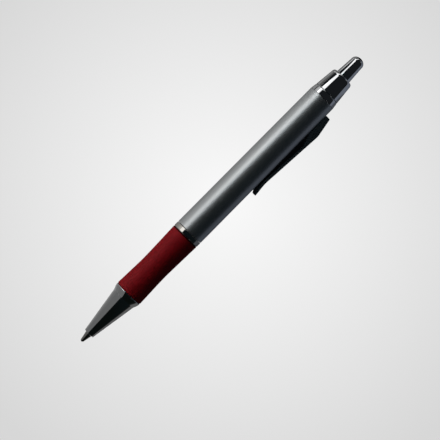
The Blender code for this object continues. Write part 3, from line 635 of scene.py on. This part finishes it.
def drawn_metal(name, tones, roughness):
    """Metal with fine lines drawn out along the pen."""
    streak_size = 0.0004
    streak_stretch = (12, 1, 1)
    patch_size = 0.0003
    patch_stretch = (20, 1, 1)
    change = 0.05
    line_size = 0.00006
    line_stretch = (40, 1, 1)
    line_depth = 0.0000006
    material, shader, places = new_finish(name, METAL)
    tinted(shader, noise(places, streak_size, streak_stretch), tones)
    roughened(shader, noise(places, patch_size, patch_stretch), roughness - change, roughness + change)
    bumped(shader, (noise(places, line_size, line_stretch), line_depth))
    return material


def turned_metal(name, tones, roughness):
    """Metal with fine lines left round it by turning."""
    cloud_size = 0.0004
    patch_size = 0.0002
    patch_stretch = (1, 20, 20)
    change = 0.04
    line_size = 0.00005
    line_stretch = (1, 50, 50)
    line_depth = 0.0000004
    material, shader, places = new_finish(name, METAL)
    tinted(shader, noise(places, cloud_size), tones)
    roughened(shader, noise(places, patch_size, patch_stretch), roughness - change, roughness + change)
    bumped(shader, (noise(places, line_size, line_stretch), line_depth))
    return material


def paste():
    """Thick glossy ink."""
    cloud_size = 0.002
    patch_size = 0.001
    gloss = (0.18, 0.30)
    wave_size = 0.002
    wave_depth = 0.00002
    material, shader, places = new_finish("ink_paste_look", NO_METAL)
    tinted(shader, noise(places, cloud_size), INK_TONES)
    roughened(shader, noise(places, patch_size), *gloss)
    bumped(shader, (noise(places, wave_size), wave_depth))
    return material


def barrel_radius(station):
    """The barrel's outer radius, which narrows slightly to the back."""
    share = (station - BARREL_FRONT) / (BARREL_REAR - BARREL_FRONT)
    return BARREL_FRONT_RADIUS + (BARREL_REAR_RADIUS - BARREL_FRONT_RADIUS) * share


def plated_nose(finish):
    """The nose: a cone with a soft lip at its mouth and a flared collar at the grip."""
    collar_front = NOSE_REAR - NOSE_COLLAR_LENGTH
    rise = NOSE_COLLAR_RADIUS - NOSE_CONE_RADIUS
    corners = [(NOSE_FRONT, POINT_BORE, NOSE_LIP / 2), (NOSE_FRONT, NOSE_MOUTH_RADIUS, NOSE_LIP)]
    corners.append((collar_front - SUPPORT, NOSE_CONE_RADIUS, 0))
    last_share = 1 - NOSE_EDGE_ROOM / NOSE_COLLAR_LENGTH
    for step in range(2 * ARC_STEPS + 1):
        share = last_share * step / (2 * ARC_STEPS)
        station = collar_front + share * NOSE_COLLAR_LENGTH
        corners.append((station, NOSE_CONE_RADIUS + rise * sin(share * pi / 2), 0))
    corners += [(NOSE_REAR, NOSE_COLLAR_RADIUS, NOSE_EDGE), (NOSE_REAR, NOSE_SOCKET, 0)]
    corners += [(CORE_FRONT - SEAM, NOSE_SOCKET, 0), (CORE_FRONT - SEAM, SPRING_BORE, 0)]
    corners += [(SPRING_FRONT - SEAM, SPRING_BORE, 0), (SPRING_FRONT - SEAM, NECK_PASSAGE, 0)]
    corners += [(MOUTH_REAR, NECK_PASSAGE, 0), (MOUTH_REAR, POINT_BORE, 0)]
    mesh = turned("plated_nose", rounded(corners))
    return add(mesh, finish, "body", "chrome_trim", "nose_cone")


def grip_radius(station):
    """The grip's outer radius: two straight flares with a rounded waist between them."""
    waist = GRIP_FRONT + GRIP_WAIST_OFFSET
    if station < waist:
        reach = waist - GRIP_FRONT
        end = GRIP_FRONT_RADIUS
    else:
        reach = GRIP_REAR - waist
        end = BARREL_FRONT_RADIUS
    rise = hypot(station - waist, GRIP_WAIST_ROUND) - GRIP_WAIST_ROUND
    whole = hypot(reach, GRIP_WAIST_ROUND) - GRIP_WAIST_ROUND
    return GRIP_WAIST_RADIUS + (end - GRIP_WAIST_RADIUS) * rise / whole


def soft_grip(finish):
    """The waisted rubber sleeve, with rolled edges and a low lip under the ring."""
    corners = [(GRIP_FRONT, GRIP_BORE, 0), (GRIP_FRONT, GRIP_FRONT_RADIUS, GRIP_EDGE)]
    first = GRIP_FRONT + 2 * GRIP_EDGE
    last = GRIP_REAR - 2 * GRIP_EDGE
    for step in range(GRIP_STEPS + 1):
        station = first + (last - first) * step / GRIP_STEPS
        corners.append((station, grip_radius(station), 0))
    lip = BARREL_FRONT_RADIUS - GRIP_LIP_DROP
    lip_rear = GRIP_REAR + RING_GROOVE
    corners += [(GRIP_REAR, BARREL_FRONT_RADIUS, GRIP_REAR_EDGE), (GRIP_REAR, lip, 0)]
    corners += [(lip_rear, lip, 0), (lip_rear, GRIP_BORE, 0)]
    mesh = turned("soft_grip", rounded(corners))
    return add(mesh, finish, "body", "grip_rubber", "grip_sleeve")


def plated_ring(finish):
    """The narrow ring between grip and barrel."""
    front = RING_FRONT + RING_GROOVE
    rear = RING_REAR - RING_SEAM
    corners = [(front, RING_BORE, 0), (front, BARREL_FRONT_RADIUS, RING_EDGE)]
    corners += [(rear, BARREL_FRONT_RADIUS, RING_EDGE), (rear, RING_BORE, 0)]
    mesh = turned("plated_ring", rounded(corners))
    return add(mesh, finish, "body", "chrome_trim", "trim_ring")


def clip_place(station, sideways, out):
    """A point given by its station, its way across the clip and its way out from the axis."""
    return AXIS + Vector((station, 0, 0)) + CLIP_SIDEWAYS * sideways + CLIP_OUTWARD * out


def clip_block(name, outline, width):
    """A block as wide as given from a closed loop of (station, out) points."""
    shape = bmesh.new()
    loops = []
    for side in (-width / 2, width / 2):
        loops.append([shape.verts.new(clip_place(station, side, out)) for station, out in outline])
    for loop in loops:
        shape.faces.new(loop)
    for first in range(len(outline)):
        second = (first + 1) % len(outline)
        shape.faces.new((loops[0][first], loops[0][second], loops[1][second], loops[1][first]))
    return mesh_from(name, shape)


def satin_barrel(finish):
    """The long satin tube, with a slot under the clip for its foot."""
    shoulder = INSERT_REAR + SEAM
    slot_front = CLIP_FOOT_FRONT - SLOT_CLEARANCE
    slot_rear = CLIP_FOOT_REAR + SLOT_CLEARANCE
    corners = [(BARREL_FRONT, BARREL_FRONT_BORE, 0), (BARREL_FRONT, BARREL_FRONT_RADIUS, BARREL_EDGE)]
    for station in (slot_front - CLIP_FOOT_WIDTH / 2, slot_rear + CLIP_FOOT_WIDTH / 2):
        corners.append((station, barrel_radius(station), 0))
    corners += [(BARREL_REAR, BARREL_REAR_RADIUS, BARREL_EDGE), (BARREL_REAR, BARREL_BORE, 0)]
    corners += [(shoulder, BARREL_BORE, 0), (shoulder, BARREL_FRONT_BORE, 0)]
    tube = turned("satin_barrel", rounded(corners))
    inside = BARREL_BORE - CLIP_THICKNESS
    outside = BARREL_FRONT_RADIUS + CLIP_THICKNESS
    outline = [(slot_front, inside), (slot_rear, inside), (slot_rear, outside), (slot_front, outside)]
    slot = clip_block("clip_slot", outline, CLIP_FOOT_WIDTH + 2 * SLOT_CLEARANCE)
    mesh = combined(tube, slot, "DIFFERENCE")
    return add(mesh, finish, "body", "barrel_silver", "barrel")


def plated_band(finish):
    """The band that closes the barrel and narrows to the cap."""
    corners = [(BAND_FRONT, BAND_BORE, 0), (BAND_FRONT, BARREL_REAR_RADIUS, BAND_FRONT_EDGE)]
    corners += [(BAND_REAR, BAND_REAR_RADIUS, BAND_REAR_EDGE), (BAND_REAR, BAND_BORE, 0)]
    mesh = turned("plated_band", rounded(corners))
    return add(mesh, finish, "body", "chrome_trim", "end_ring")


def plated_cap(finish):
    """The tapering cap with a rounded end and a hole for the button."""
    shell_front = BAND_REAR + SEAM
    inner_end = CAP_REAR - CAP_END_WALL
    edge_front = CAP_REAR - CAP_EDGE_LENGTH
    edge_inner = CAP_REAR_RADIUS - CAP_EDGE_WIDTH
    corners = [(SPIGOT_FRONT, CAP_BORE, 0), (SPIGOT_FRONT, CAP_SPIGOT, 0), (shell_front, CAP_SPIGOT, 0)]
    corners.append((shell_front, CAP_FRONT_RADIUS, CAP_FRONT_EDGE))
    for step in range(DOME_STEPS + 1):
        turn = pi / 2 * step / DOME_STEPS
        station = edge_front + CAP_EDGE_LENGTH * sin(turn)
        corners.append((station, edge_inner + CAP_EDGE_WIDTH * cos(turn), 0))
    corners += [(CAP_REAR, CAP_HOLE, CAP_HOLE_EDGE), (inner_end, CAP_HOLE, 0), (inner_end, CAP_BORE, 0)]
    mesh = turned("plated_cap", rounded(corners))
    return add(mesh, finish, "body", "chrome_trim", "top_cap")


def plated_button(finish):
    """The hollow button with its domed end."""
    flange_rear = FLANGE_FRONT + BUTTON_FLANGE_LENGTH
    dome_front = BUTTON_REAR - BUTTON_DOME_LENGTH
    bore_end = CAP_REAR + BUTTON_SOCKET_REACH
    corners = [(FLANGE_FRONT, BUTTON_BORE, 0), (FLANGE_FRONT, BUTTON_FLANGE_RADIUS, 0)]
    corners += [(flange_rear, BUTTON_FLANGE_RADIUS, 0), (flange_rear, BUTTON_RADIUS, 0)]
    corners += [(CAP_REAR, BUTTON_RADIUS, 0)]
    for step in range(DOME_STEPS):
        turn = pi / 2 * step / DOME_STEPS
        station = dome_front + BUTTON_DOME_LENGTH * sin(turn)
        corners.append((station, BUTTON_END_RADIUS * cos(turn), 0))
    corners += [(BUTTON_REAR, 0, 0), (bore_end, 0, 0), (bore_end, BUTTON_BORE, 0)]
    mesh = turned("plated_button", rounded(corners))
    return add(mesh, finish, "button", "chrome_trim", "push_button")


def writing_point(finish):
    """The turned point, with its rim folded in over the ball."""
    centre = BALL_FRONT + BALL_RADIUS
    socket = BALL_RADIUS + BALL_CLEARANCE
    rim = sqrt(socket**2 - (centre - POINT_FRONT) ** 2)
    taper_rear = BALL_FRONT + POINT_TAPER_LENGTH
    shoulder = BALL_FRONT + POINT_LENGTH
    seat = centre + socket
    corners = [(POINT_FRONT, rim, 0), (POINT_FRONT, rim + POINT_RIM_WALL, POINT_RIM_WALL / 2)]
    corners += [(taper_rear, POINT_RADIUS, POINT_RADIUS), (shoulder, POINT_RADIUS, POINT_RIM_WALL)]
    corners += [(shoulder, POINT_SHANK, 0), (POINT_REAR, POINT_SHANK, 0), (POINT_REAR, POINT_CHANNEL, 0)]
    corners += [(seat + POINT_CHANNEL, POINT_CHANNEL, 0), (seat, socket, 0), (centre, socket, 0)]
    mesh = turned("writing_point", rounded(corners), FINE_SIDES)
    return add(mesh, finish, "refill", "point_metal", "refill_point")


def rolling_ball(finish):
    """The ball at the tip."""
    centre = BALL_FRONT + BALL_RADIUS
    outline = [(BALL_FRONT, 0)]
    for step in range(1, DOME_STEPS):
        turn = pi * step / DOME_STEPS
        outline.append((centre - BALL_RADIUS * cos(turn), BALL_RADIUS * sin(turn)))
    outline.append((BALL_REAR, 0))
    mesh = turned("rolling_ball", outline, FINE_SIDES)
    return add(mesh, finish, "ball", "spring_steel", "writing_ball")


def coil_spring(finish):
    """The return spring, a round wire wound between the nose and the refill's collar."""
    start = SPRING_FRONT + SPRING_WIRE_RADIUS
    length = SPRING_REAR - SPRING_WIRE_RADIUS - start
    steps = round(SPRING_TURNS * SPRING_STEPS_PER_TURN)
    lead = length / (2 * pi * SPRING_TURNS)
    shape = bmesh.new()
    loops = []
    for step in range(steps + 1):
        angle = 2 * pi * SPRING_TURNS * step / steps
        out = Vector((0, cos(angle), sin(angle)))
        across = Vector((SPRING_RADIUS, lead * sin(angle), -lead * cos(angle))).normalized()
        middle = AXIS + Vector((start + lead * angle, 0, 0)) + out * SPRING_RADIUS
        loop = []
        for side in range(SPRING_WIRE_SIDES):
            turn = 2 * pi * side / SPRING_WIRE_SIDES
            spoke = out * cos(turn) + across * sin(turn)
            loop.append(shape.verts.new(middle + spoke * SPRING_WIRE_RADIUS))
        loops.append(loop)
    shape.faces.new(loops[0])
    shape.faces.new(loops[-1])
    for loop, after in zip(loops, loops[1:]):
        for side in range(SPRING_WIRE_SIDES):
            turn = (side + 1) % SPRING_WIRE_SIDES
            shape.faces.new((loop[side], loop[turn], after[turn], after[side]))
    mesh = mesh_from("coil_spring", shape)
    mesh.shade_smooth()
    mesh.materials.append(finish)
    spring = bpy.data.objects.new("coil_spring", mesh)
    bpy.context.scene.collection.objects.link(spring)
    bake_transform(spring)
    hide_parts("return_spring")
    return spring


def clip_height(station):
    """How far the clip's outer face stands off the barrel: a curled tail, a knee and a root."""
    if station < CLIP_CONTACT:
        share = ((CLIP_CONTACT - station) / (CLIP_CONTACT - CLIP_FRONT)) ** 2
        return CLIP_CONTACT_HEIGHT + (CLIP_TAIL_HEIGHT - CLIP_CONTACT_HEIGHT) * share
    if station < CLIP_KNEE:
        share = (station - CLIP_CONTACT) / (CLIP_KNEE - CLIP_CONTACT)
        return CLIP_CONTACT_HEIGHT + (CLIP_KNEE_HEIGHT - CLIP_CONTACT_HEIGHT) * share
    share = (station - CLIP_KNEE) / (CLIP_REAR - CLIP_KNEE)
    return CLIP_KNEE_HEIGHT + (CLIP_ROOT_HEIGHT - CLIP_KNEE_HEIGHT) * share


def clip_outer(station):
    """The radius of the clip's outer face, with its corners averaged into bends."""
    total = 0
    for sample in range(CLIP_BEND_SAMPLES + 1):
        total += clip_height(station + CLIP_BEND * (2 * sample / CLIP_BEND_SAMPLES - 1))
    return barrel_radius(station) + total / (CLIP_BEND_SAMPLES + 1)


def clip_thickness(station):
    """The clip's thickness, which is less where the tail curls up."""
    share = max((CLIP_CONTACT - station) / (CLIP_CONTACT - CLIP_FRONT), 0) ** 2
    return CLIP_THICKNESS + (CLIP_TAIL_THICKNESS - CLIP_THICKNESS) * share


def quarter_fall(depth, size):
    """How far a rounded end of a size falls back at a depth from its face."""
    if depth >= size:
        return 0
    return size - sqrt(size**2 - (size - depth) ** 2)


def clip_section(station):
    """The clip's outline across the barrel as (sideways, out) points, as many at every station."""
    share = (station - CLIP_FRONT) / (CLIP_REAR - CLIP_FRONT)
    trim = quarter_fall(station - CLIP_TAIL_FRONT, CLIP_END_ROUND)
    trim += quarter_fall(CLIP_REAR - station, CLIP_END_ROUND)
    taper = quarter_fall(station - CLIP_TAIL_FRONT + CLIP_TAIL_BLUNT, CLIP_TAIL_TAPER) / CLIP_TAIL_TAPER
    half = (CLIP_TAIL_WIDTH + (CLIP_ROOT_WIDTH - CLIP_TAIL_WIDTH) * share) / 2 * (1 - taper) - trim
    seat = barrel_radius(station) + CLIP_SEAT_GAP
    outer = clip_outer(station) - trim
    inner = max(clip_outer(station) - clip_thickness(station), seat) + trim
    throat = (station - CLIP_THROAT_FRONT) / (CLIP_BASE_FRONT - CLIP_THROAT_FRONT)
    seated = min(max(throat, 0), 1)
    corners = []
    for step in range(CLIP_ACROSS_STEPS + 1):
        share = 2 * step / CLIP_ACROSS_STEPS - 1
        hollow = sqrt(seat**2 - (half * share) ** 2) + trim
        bend = CLIP_INNER_EDGE if abs(share) == 1 else 0
        corners.append((half * share, inner + (hollow - inner) * seated, bend))
    for share in CLIP_TOP_SHARES:
        bend = CLIP_OUTER_EDGE if abs(share) == 1 else 0
        corners.append((half * share, outer - CLIP_CROWN * share**2, bend))
    return rounded(corners)


def spread(first, last, steps):
    """Stations spread evenly from first to last."""
    return [first + (last - first) * step / steps for step in range(steps + 1)]


def clip_stations():
    """Stations for the clip's sections, close together at its ends and bends."""
    stations = []
    for step in range(2 * ARC_STEPS + 1):
        fall = 1 - cos(pi / 2 * step / (2 * ARC_STEPS))
        stations.append(CLIP_TAIL_FRONT + CLIP_TAIL_TAPER * fall)
    for step in range(ARC_STEPS + 1):
        fall = 1 - cos(pi / 2 * step / ARC_STEPS)
        stations += [CLIP_TAIL_FRONT + CLIP_END_ROUND * fall, CLIP_REAR - CLIP_END_ROUND * fall]
    stations += spread(CLIP_TAIL_FRONT + CLIP_TAIL_TAPER, CLIP_CONTACT + CLIP_BEND, 2 * ARC_STEPS)
    stations += spread(CLIP_CONTACT + CLIP_BEND, CLIP_THROAT_FRONT, ARC_STEPS)
    stations += spread(CLIP_THROAT_FRONT, CLIP_BASE_FRONT, ARC_STEPS)
    stations += spread(CLIP_BASE_FRONT, CLIP_KNEE + CLIP_BEND, 2 * ARC_STEPS)
    stations += spread(CLIP_KNEE + CLIP_BEND, CLIP_REAR - CLIP_END_ROUND, ARC_STEPS)
    kept = []
    for station in sorted(stations):
        if not kept or station - kept[-1] > CLIP_LEAST_STEP:
            kept.append(station)
    return kept


def spring_clip(finish):
    """The lacquered clip, with a foot through the barrel's slot and a hook under its wall."""
    shape = bmesh.new()
    loops = []
    for station in clip_stations():
        section = clip_section(station)
        loops.append([shape.verts.new(clip_place(station, sideways, out)) for sideways, out in section])
    shape.faces.new(loops[0])
    shape.faces.new(loops[-1])
    for loop, after in zip(loops, loops[1:]):
        for first in range(len(loop)):
            second = (first + 1) % len(loop)
            shape.faces.new((loop[first], loop[second], after[second], after[first]))
    arm = mesh_from("spring_clip", shape)
    top = barrel_radius(CLIP_FOOT_FRONT) + CLIP_ROOT_HEIGHT / 2
    outline = [(CLIP_FOOT_REAR, top), (CLIP_FOOT_FRONT, top), (CLIP_FOOT_FRONT, CLIP_HOOK_OUTER)]
    outline += [(CLIP_HOOK_FRONT, CLIP_HOOK_OUTER), (CLIP_HOOK_FRONT, CLIP_HOOK_INNER)]
    outline.append((CLIP_FOOT_REAR, CLIP_HOOK_INNER))
    mesh = combined(arm, clip_block("clip_foot", outline, CLIP_FOOT_WIDTH), "UNION")
    return add(mesh, finish, "clip", "clip_black", "clip")


def repaint(finish, *nodes):
    """Give CAD nodes that stay a finish."""
    for node in nodes:
        slots = frame["nodes"][node].data.materials
        slots.clear()
        slots.append(finish)


def dress():
    """Make every piece of the pen and give back its clip."""
    plating = chrome("chrome", CHROME_TONES)
    for make in (plated_nose, plated_band, plated_cap, plated_button):
        make(plating)
    plated_ring(chrome("grey_chrome", GREY_CHROME_TONES))
    soft_grip(red_rubber())
    satin_barrel(satin_silver())
    clip = spring_clip(black_lacquer())
    coil_spring(drawn_metal("spring_steel_look", STEEL_TONES, DRAWN_ROUGHNESS))
    rolling_ball(turned_metal("ball_steel", BALL_TONES, BALL_ROUGHNESS))
    writing_point(turned_metal("nickel_silver", POINT_TONES, POINT_ROUGHNESS))
    grey = moulded("grey_plastic_look", GREY_TONES)
    repaint(grey, "grip_core", "barrel_insert", "plunger", "refill_plug")
    white = moulded("white_plastic_look", WHITE_TONES)
    repaint(white, "cam_sleeve", "rotary_cam", "refill_neck")
    repaint(drawn_metal("brass_look", BRASS_TONES, DRAWN_ROUGHNESS), "refill_tube")
    repaint(paste(), "ink_paste")
    return clip


def glowing(name, corners):
    """A flat sheet with four corners that only glows, its colour socket and its object coordinates."""
    mesh = bpy.data.meshes.new(name)
    mesh.from_pydata(corners, [], [(0, 1, 2, 3)])
    sheet = bpy.data.objects.new(name, mesh)
    bpy.context.scene.collection.objects.link(sheet)
    material = bpy.data.materials.new(name + "_look")
    material.use_nodes = True
    nodes = material.node_tree.nodes
    nodes.remove(nodes["Principled BSDF"])
    glow = nodes.new("ShaderNodeEmission")
    material.node_tree.links.new(glow.outputs["Emission"], nodes["Material Output"].inputs["Surface"])
    places = nodes.new("ShaderNodeTexCoord").outputs["Object"]
    mesh.materials.append(material)
    return sheet, glow.inputs["Color"], places


def mirrored_only(sheet):
    """Let a sheet show in polished surfaces alone."""
    sheet.visible_camera = False
    sheet.visible_diffuse = False
    sheet.visible_shadow = False


def camera_only(sheet):
    """Let a sheet show to the camera alone."""
    sheet.visible_diffuse = False
    sheet.visible_glossy = False
    sheet.visible_shadow = False


def floor():
    """The pale floor that the camera sees, glowing with a painted pool of light brightest under the pen."""
    half = FLOOR_HALF
    level = -FLOOR_DROP
    corners = [(-half, -half, level), (half, -half, level), (half, half, level), (-half, half, level)]
    sheet, colour, places = glowing("floor", corners)
    tree = colour.id_data
    # Painted pool of light: the floor glows brightest at its middle and fades outwards
    length = tree.nodes.new("ShaderNodeVectorMath")
    length.operation = "LENGTH"
    tree.links.new(places, length.inputs[0])
    share = scaled_between(length.outputs["Value"], 0, FLOOR_FADE)
    tree.links.new(ramp(share, [(0, FLOOR_PAINTED_POOL_TONE, PLAIN), (1, FLOOR_FAR_TONE, PLAIN)]), colour)
    camera_only(sheet)
    return sheet


def shade_mesh():
    """A strip under the pen whose points carry the shade's strength."""
    mesh = bpy.data.meshes.new("shade")
    places = []
    strengths = []
    faces = []
    columns = len(SHADE_PROFILE)
    for station, half, strength in SHADE_LINE:
        for share, depth in SHADE_PROFILE:
            places.append((station, AXIS.y + half * share, SHADE_LIFT - FLOOR_DROP))
            strengths.append(strength * depth)
    for row in range(len(SHADE_LINE) - 1):
        for column in range(columns - 1):
            first = row * columns + column
            faces.append((first, first + columns, first + columns + 1, first + 1))
    mesh.from_pydata(places, [], faces)
    mesh.attributes.new("strength", "FLOAT", "POINT").data.foreach_set("value", strengths)
    return mesh


def shade_look():
    """A black that covers as much as the strength at a point says."""
    material = bpy.data.materials.new("shade_look")
    material.use_nodes = True
    nodes = material.node_tree.nodes
    links = material.node_tree.links
    nodes.remove(nodes["Principled BSDF"])
    strength = nodes.new("ShaderNodeAttribute")
    strength.attribute_name = "strength"
    clear = nodes.new("ShaderNodeBsdfTransparent")
    dark = nodes.new("ShaderNodeEmission")
    dark.inputs["Color"].default_value = (0, 0, 0, 1)
    mix = nodes.new("ShaderNodeMixShader")
    links.new(strength.outputs["Fac"], mix.inputs["Fac"])
    links.new(clear.outputs["BSDF"], mix.inputs[1])
    links.new(dark.outputs["Emission"], mix.inputs[2])
    links.new(mix.outputs["Shader"], nodes["Material Output"].inputs["Surface"])
    return material


def shade():
    """The soft shade on the table where the pen touches it."""
    mesh = shade_mesh()
    sheet = bpy.data.objects.new("shade", mesh)
    bpy.context.scene.collection.objects.link(sheet)
    mesh.materials.append(shade_look())
    camera_only(sheet)
    return sheet


def sheen_card(name, front, rear, tones, near=-FLOOR_HALF, slant=0, lift=0, clip_tint=COOL):
    """A glowing strip that the pen's polished sides mirror as the table, with the pen's painted shadow
    darkest under the pen.
    """
    far = FLOOR_HALF
    level = lift - SHEEN_CARD_DROP
    shift = slant * far
    corners = [(front, near, level), (rear, near, level)]
    corners += [(rear + shift, far, level), (front + shift, far, level)]
    sheet, colour, places = glowing(name, corners)
    share = scaled_between(coordinate(places, "Y"), AXIS.y - SHEEN_REACH, AXIS.y + SHEEN_REACH)
    stops = []
    for offset, tone in tones:
        tint = clip_tint if offset < 0 else PLAIN
        stops.append(((offset + SHEEN_REACH) / (2 * SHEEN_REACH), tone, tint))
    colour.id_data.links.new(ramp(share, stops), colour)
    mirrored_only(sheet)
    return sheet


def board(name, side, front, rear, height, low_tone, high_tone):
    """A board that stands beside the pen, its tone changing from foot to top."""
    far = AXIS.y + side * BOARD_DISTANCE
    tint = COOL if side < 0 else PLAIN
    corners = [(front, far, 0), (rear, far, 0), (rear, far, height), (front, far, height)]
    sheet, colour, places = glowing(name, corners)
    share = scaled_between(coordinate(places, "Z"), 0, height)
    colour.id_data.links.new(ramp(share, [(0, low_tone, tint), (1, high_tone, tint)]), colour)
    mirrored_only(sheet)
    return sheet


def flag(name, front, rear, foot, top):
    """A dark sheet that stands beside the pen and keeps a light off polished surfaces behind it."""
    far = AXIS.y + FLAG_DISTANCE
    corners = [(front, far, foot), (rear, far, foot), (rear, far, top), (front, far, top)]
    sheet, colour, _ = glowing(name, corners)
    colour.default_value = (*ROOM_RADIANCE, 1)
    mirrored_only(sheet)
    sheet.visible_shadow = True
    return sheet


def light(name, place, target, width, height, radiance):
    """A rectangular light at a place, facing a target."""
    data = bpy.data.lights.new(name, "AREA")
    data.shape = "RECTANGLE"
    data.size = width
    data.size_y = height
    data.energy = radiance * pi * width * height
    lamp = bpy.data.objects.new(name, data)
    bpy.context.scene.collection.objects.link(lamp)
    lamp.location = place
    lamp.rotation_euler = (target - place).to_track_quat("-Z", "Y").to_euler()
    lamp.visible_camera = False
    return lamp


def side_light(name, zenith, half_angle, front, rear, radiance):
    """A light along the pen, at an angle from straight up that is positive away from the clip."""
    target = AXIS + Vector(((front + rear) / 2, 0, 0))
    place = target + Vector((0, sin(zenith), cos(zenith))) * LIGHT_DISTANCE
    return light(name, place, target, rear - front, 2 * LIGHT_DISTANCE * tan(half_angle), radiance)


def soft_fill(name, zenith, radiance):
    """A square light that shows in no polished surface."""
    half = LIGHT_DISTANCE * tan(FILL_HALF_ANGLE)
    fill = side_light(name, zenith, FILL_HALF_ANGLE, -half, half, radiance)
    fill.visible_glossy = False
    return fill


def clip_light(clip):
    """A soft fill that falls on the clip alone."""
    lit = bpy.data.collections.new("clip_lit")
    lit.objects.link(clip)
    fill = soft_fill("clip_light", CLIP_LIGHT_ZENITH, CLIP_LIGHT_RADIANCE)
    fill.light_linking.receiver_collection = lit
    return fill


def end_box(name, away, radiance):
    """A light beyond one end of the pen, on the clip's side, for polished surfaces alone."""
    place = AXIS + Vector((away, -END_BOX_ASIDE, END_BOX_HEIGHT))
    box = light(name, place, AXIS, END_BOX_SIZE, END_BOX_SIZE, radiance)
    box.visible_diffuse = False
    return box


def room():
    """A dark room for reflections, darkest to the front, with a pale backdrop for the camera."""
    world = bpy.data.worlds.new("room")
    world.use_nodes = True
    bpy.context.scene.world = world
    nodes = world.node_tree.nodes
    links = world.node_tree.links
    dark = nodes["Background"]
    places = nodes.new("ShaderNodeTexCoord").outputs["Generated"]
    # A direction's X is -1 straight to the front and 1 straight to the back
    share = scaled_between(coordinate(places, "X"), -1, 1)
    stops = [((lean + 1) / 2, 1, radiance) for lean, radiance in ROOM_TONES]
    links.new(ramp(share, stops), dark.inputs["Color"])
    pale = nodes.new("ShaderNodeBackground")
    pale.inputs["Color"].default_value = (FLOOR_FAR_TONE, FLOOR_FAR_TONE, FLOOR_FAR_TONE, 1)
    choice = nodes.new("ShaderNodeMixShader")
    path = nodes.new("ShaderNodeLightPath")
    links.new(path.outputs["Is Camera Ray"], choice.inputs["Fac"])
    links.new(dark.outputs["Background"], choice.inputs[1])
    links.new(pale.outputs["Background"], choice.inputs[2])
    links.new(choice.outputs["Shader"], nodes["World Output"].inputs["Surface"])


def studio(clip):
    """Floor, cards, boards, lights and backdrop."""
    floor()
    shade()
    band_end = BAND_REAR + BAND_SHEEN_REACH
    sheen_card("nose_sheen", -FLOOR_HALF, NOSE_REAR, NOSE_SHEEN, clip_tint=PLAIN)
    sheen_card("barrel_sheen", NOSE_REAR, band_end, BARREL_SHEEN)
    sheen_card("cap_sheen", band_end, FLOOR_HALF, CAP_SHEEN)
    button_ends = BUTTON_SHEEN_FRONT, BUTTON_SHEEN_REAR
    sheen_card("button_sheen", *button_ends, BUTTON_SHEEN, AXIS.y, BUTTON_SHEEN_SLANT, BUTTON_SHEEN_LIFT)
    board("barrel_board", *BARREL_BOARD)
    board("band_board", *BAND_BOARD)
    board("low_board", *LOW_BOARD)
    flag("button_flag", *BUTTON_FLAG)
    side_light("softbox", *SOFTBOX)
    strip = side_light("top_strip", *TOP_STRIP)
    strip.data.color = TOP_STRIP_TINT
    side_light("tail_box", *TAIL_BOX)
    card = side_light("grey_card", *GREY_CARD)
    card.visible_diffuse = False
    soft_fill("fill", FILL_ZENITH, FILL_RADIANCE)
    soft_fill("clip_fill", CLIP_FILL_ZENITH, CLIP_FILL_RADIANCE)
    clip_light(clip)
    end_box("front_box", -END_BOX_AWAY, FRONT_BOX_RADIANCE)
    end_box("rear_box", END_BOX_AWAY, REAR_BOX_RADIANCE)
    room()
    bpy.context.scene.view_settings.view_transform = "Standard"


def camera():
    """The camera, looking straight down on the pen."""
    data = bpy.data.cameras.new("camera")
    data.lens = CAMERA_LENS
    data.sensor_width = CAMERA_SENSOR
    eye = bpy.data.objects.new("camera", data)
    bpy.context.scene.collection.objects.link(eye)
    eye.location = CAMERA_PLACE
    eye.rotation_euler = (0, 0, -CAMERA_TURN)
    bpy.context.scene.camera = eye


studio(dress())
camera()
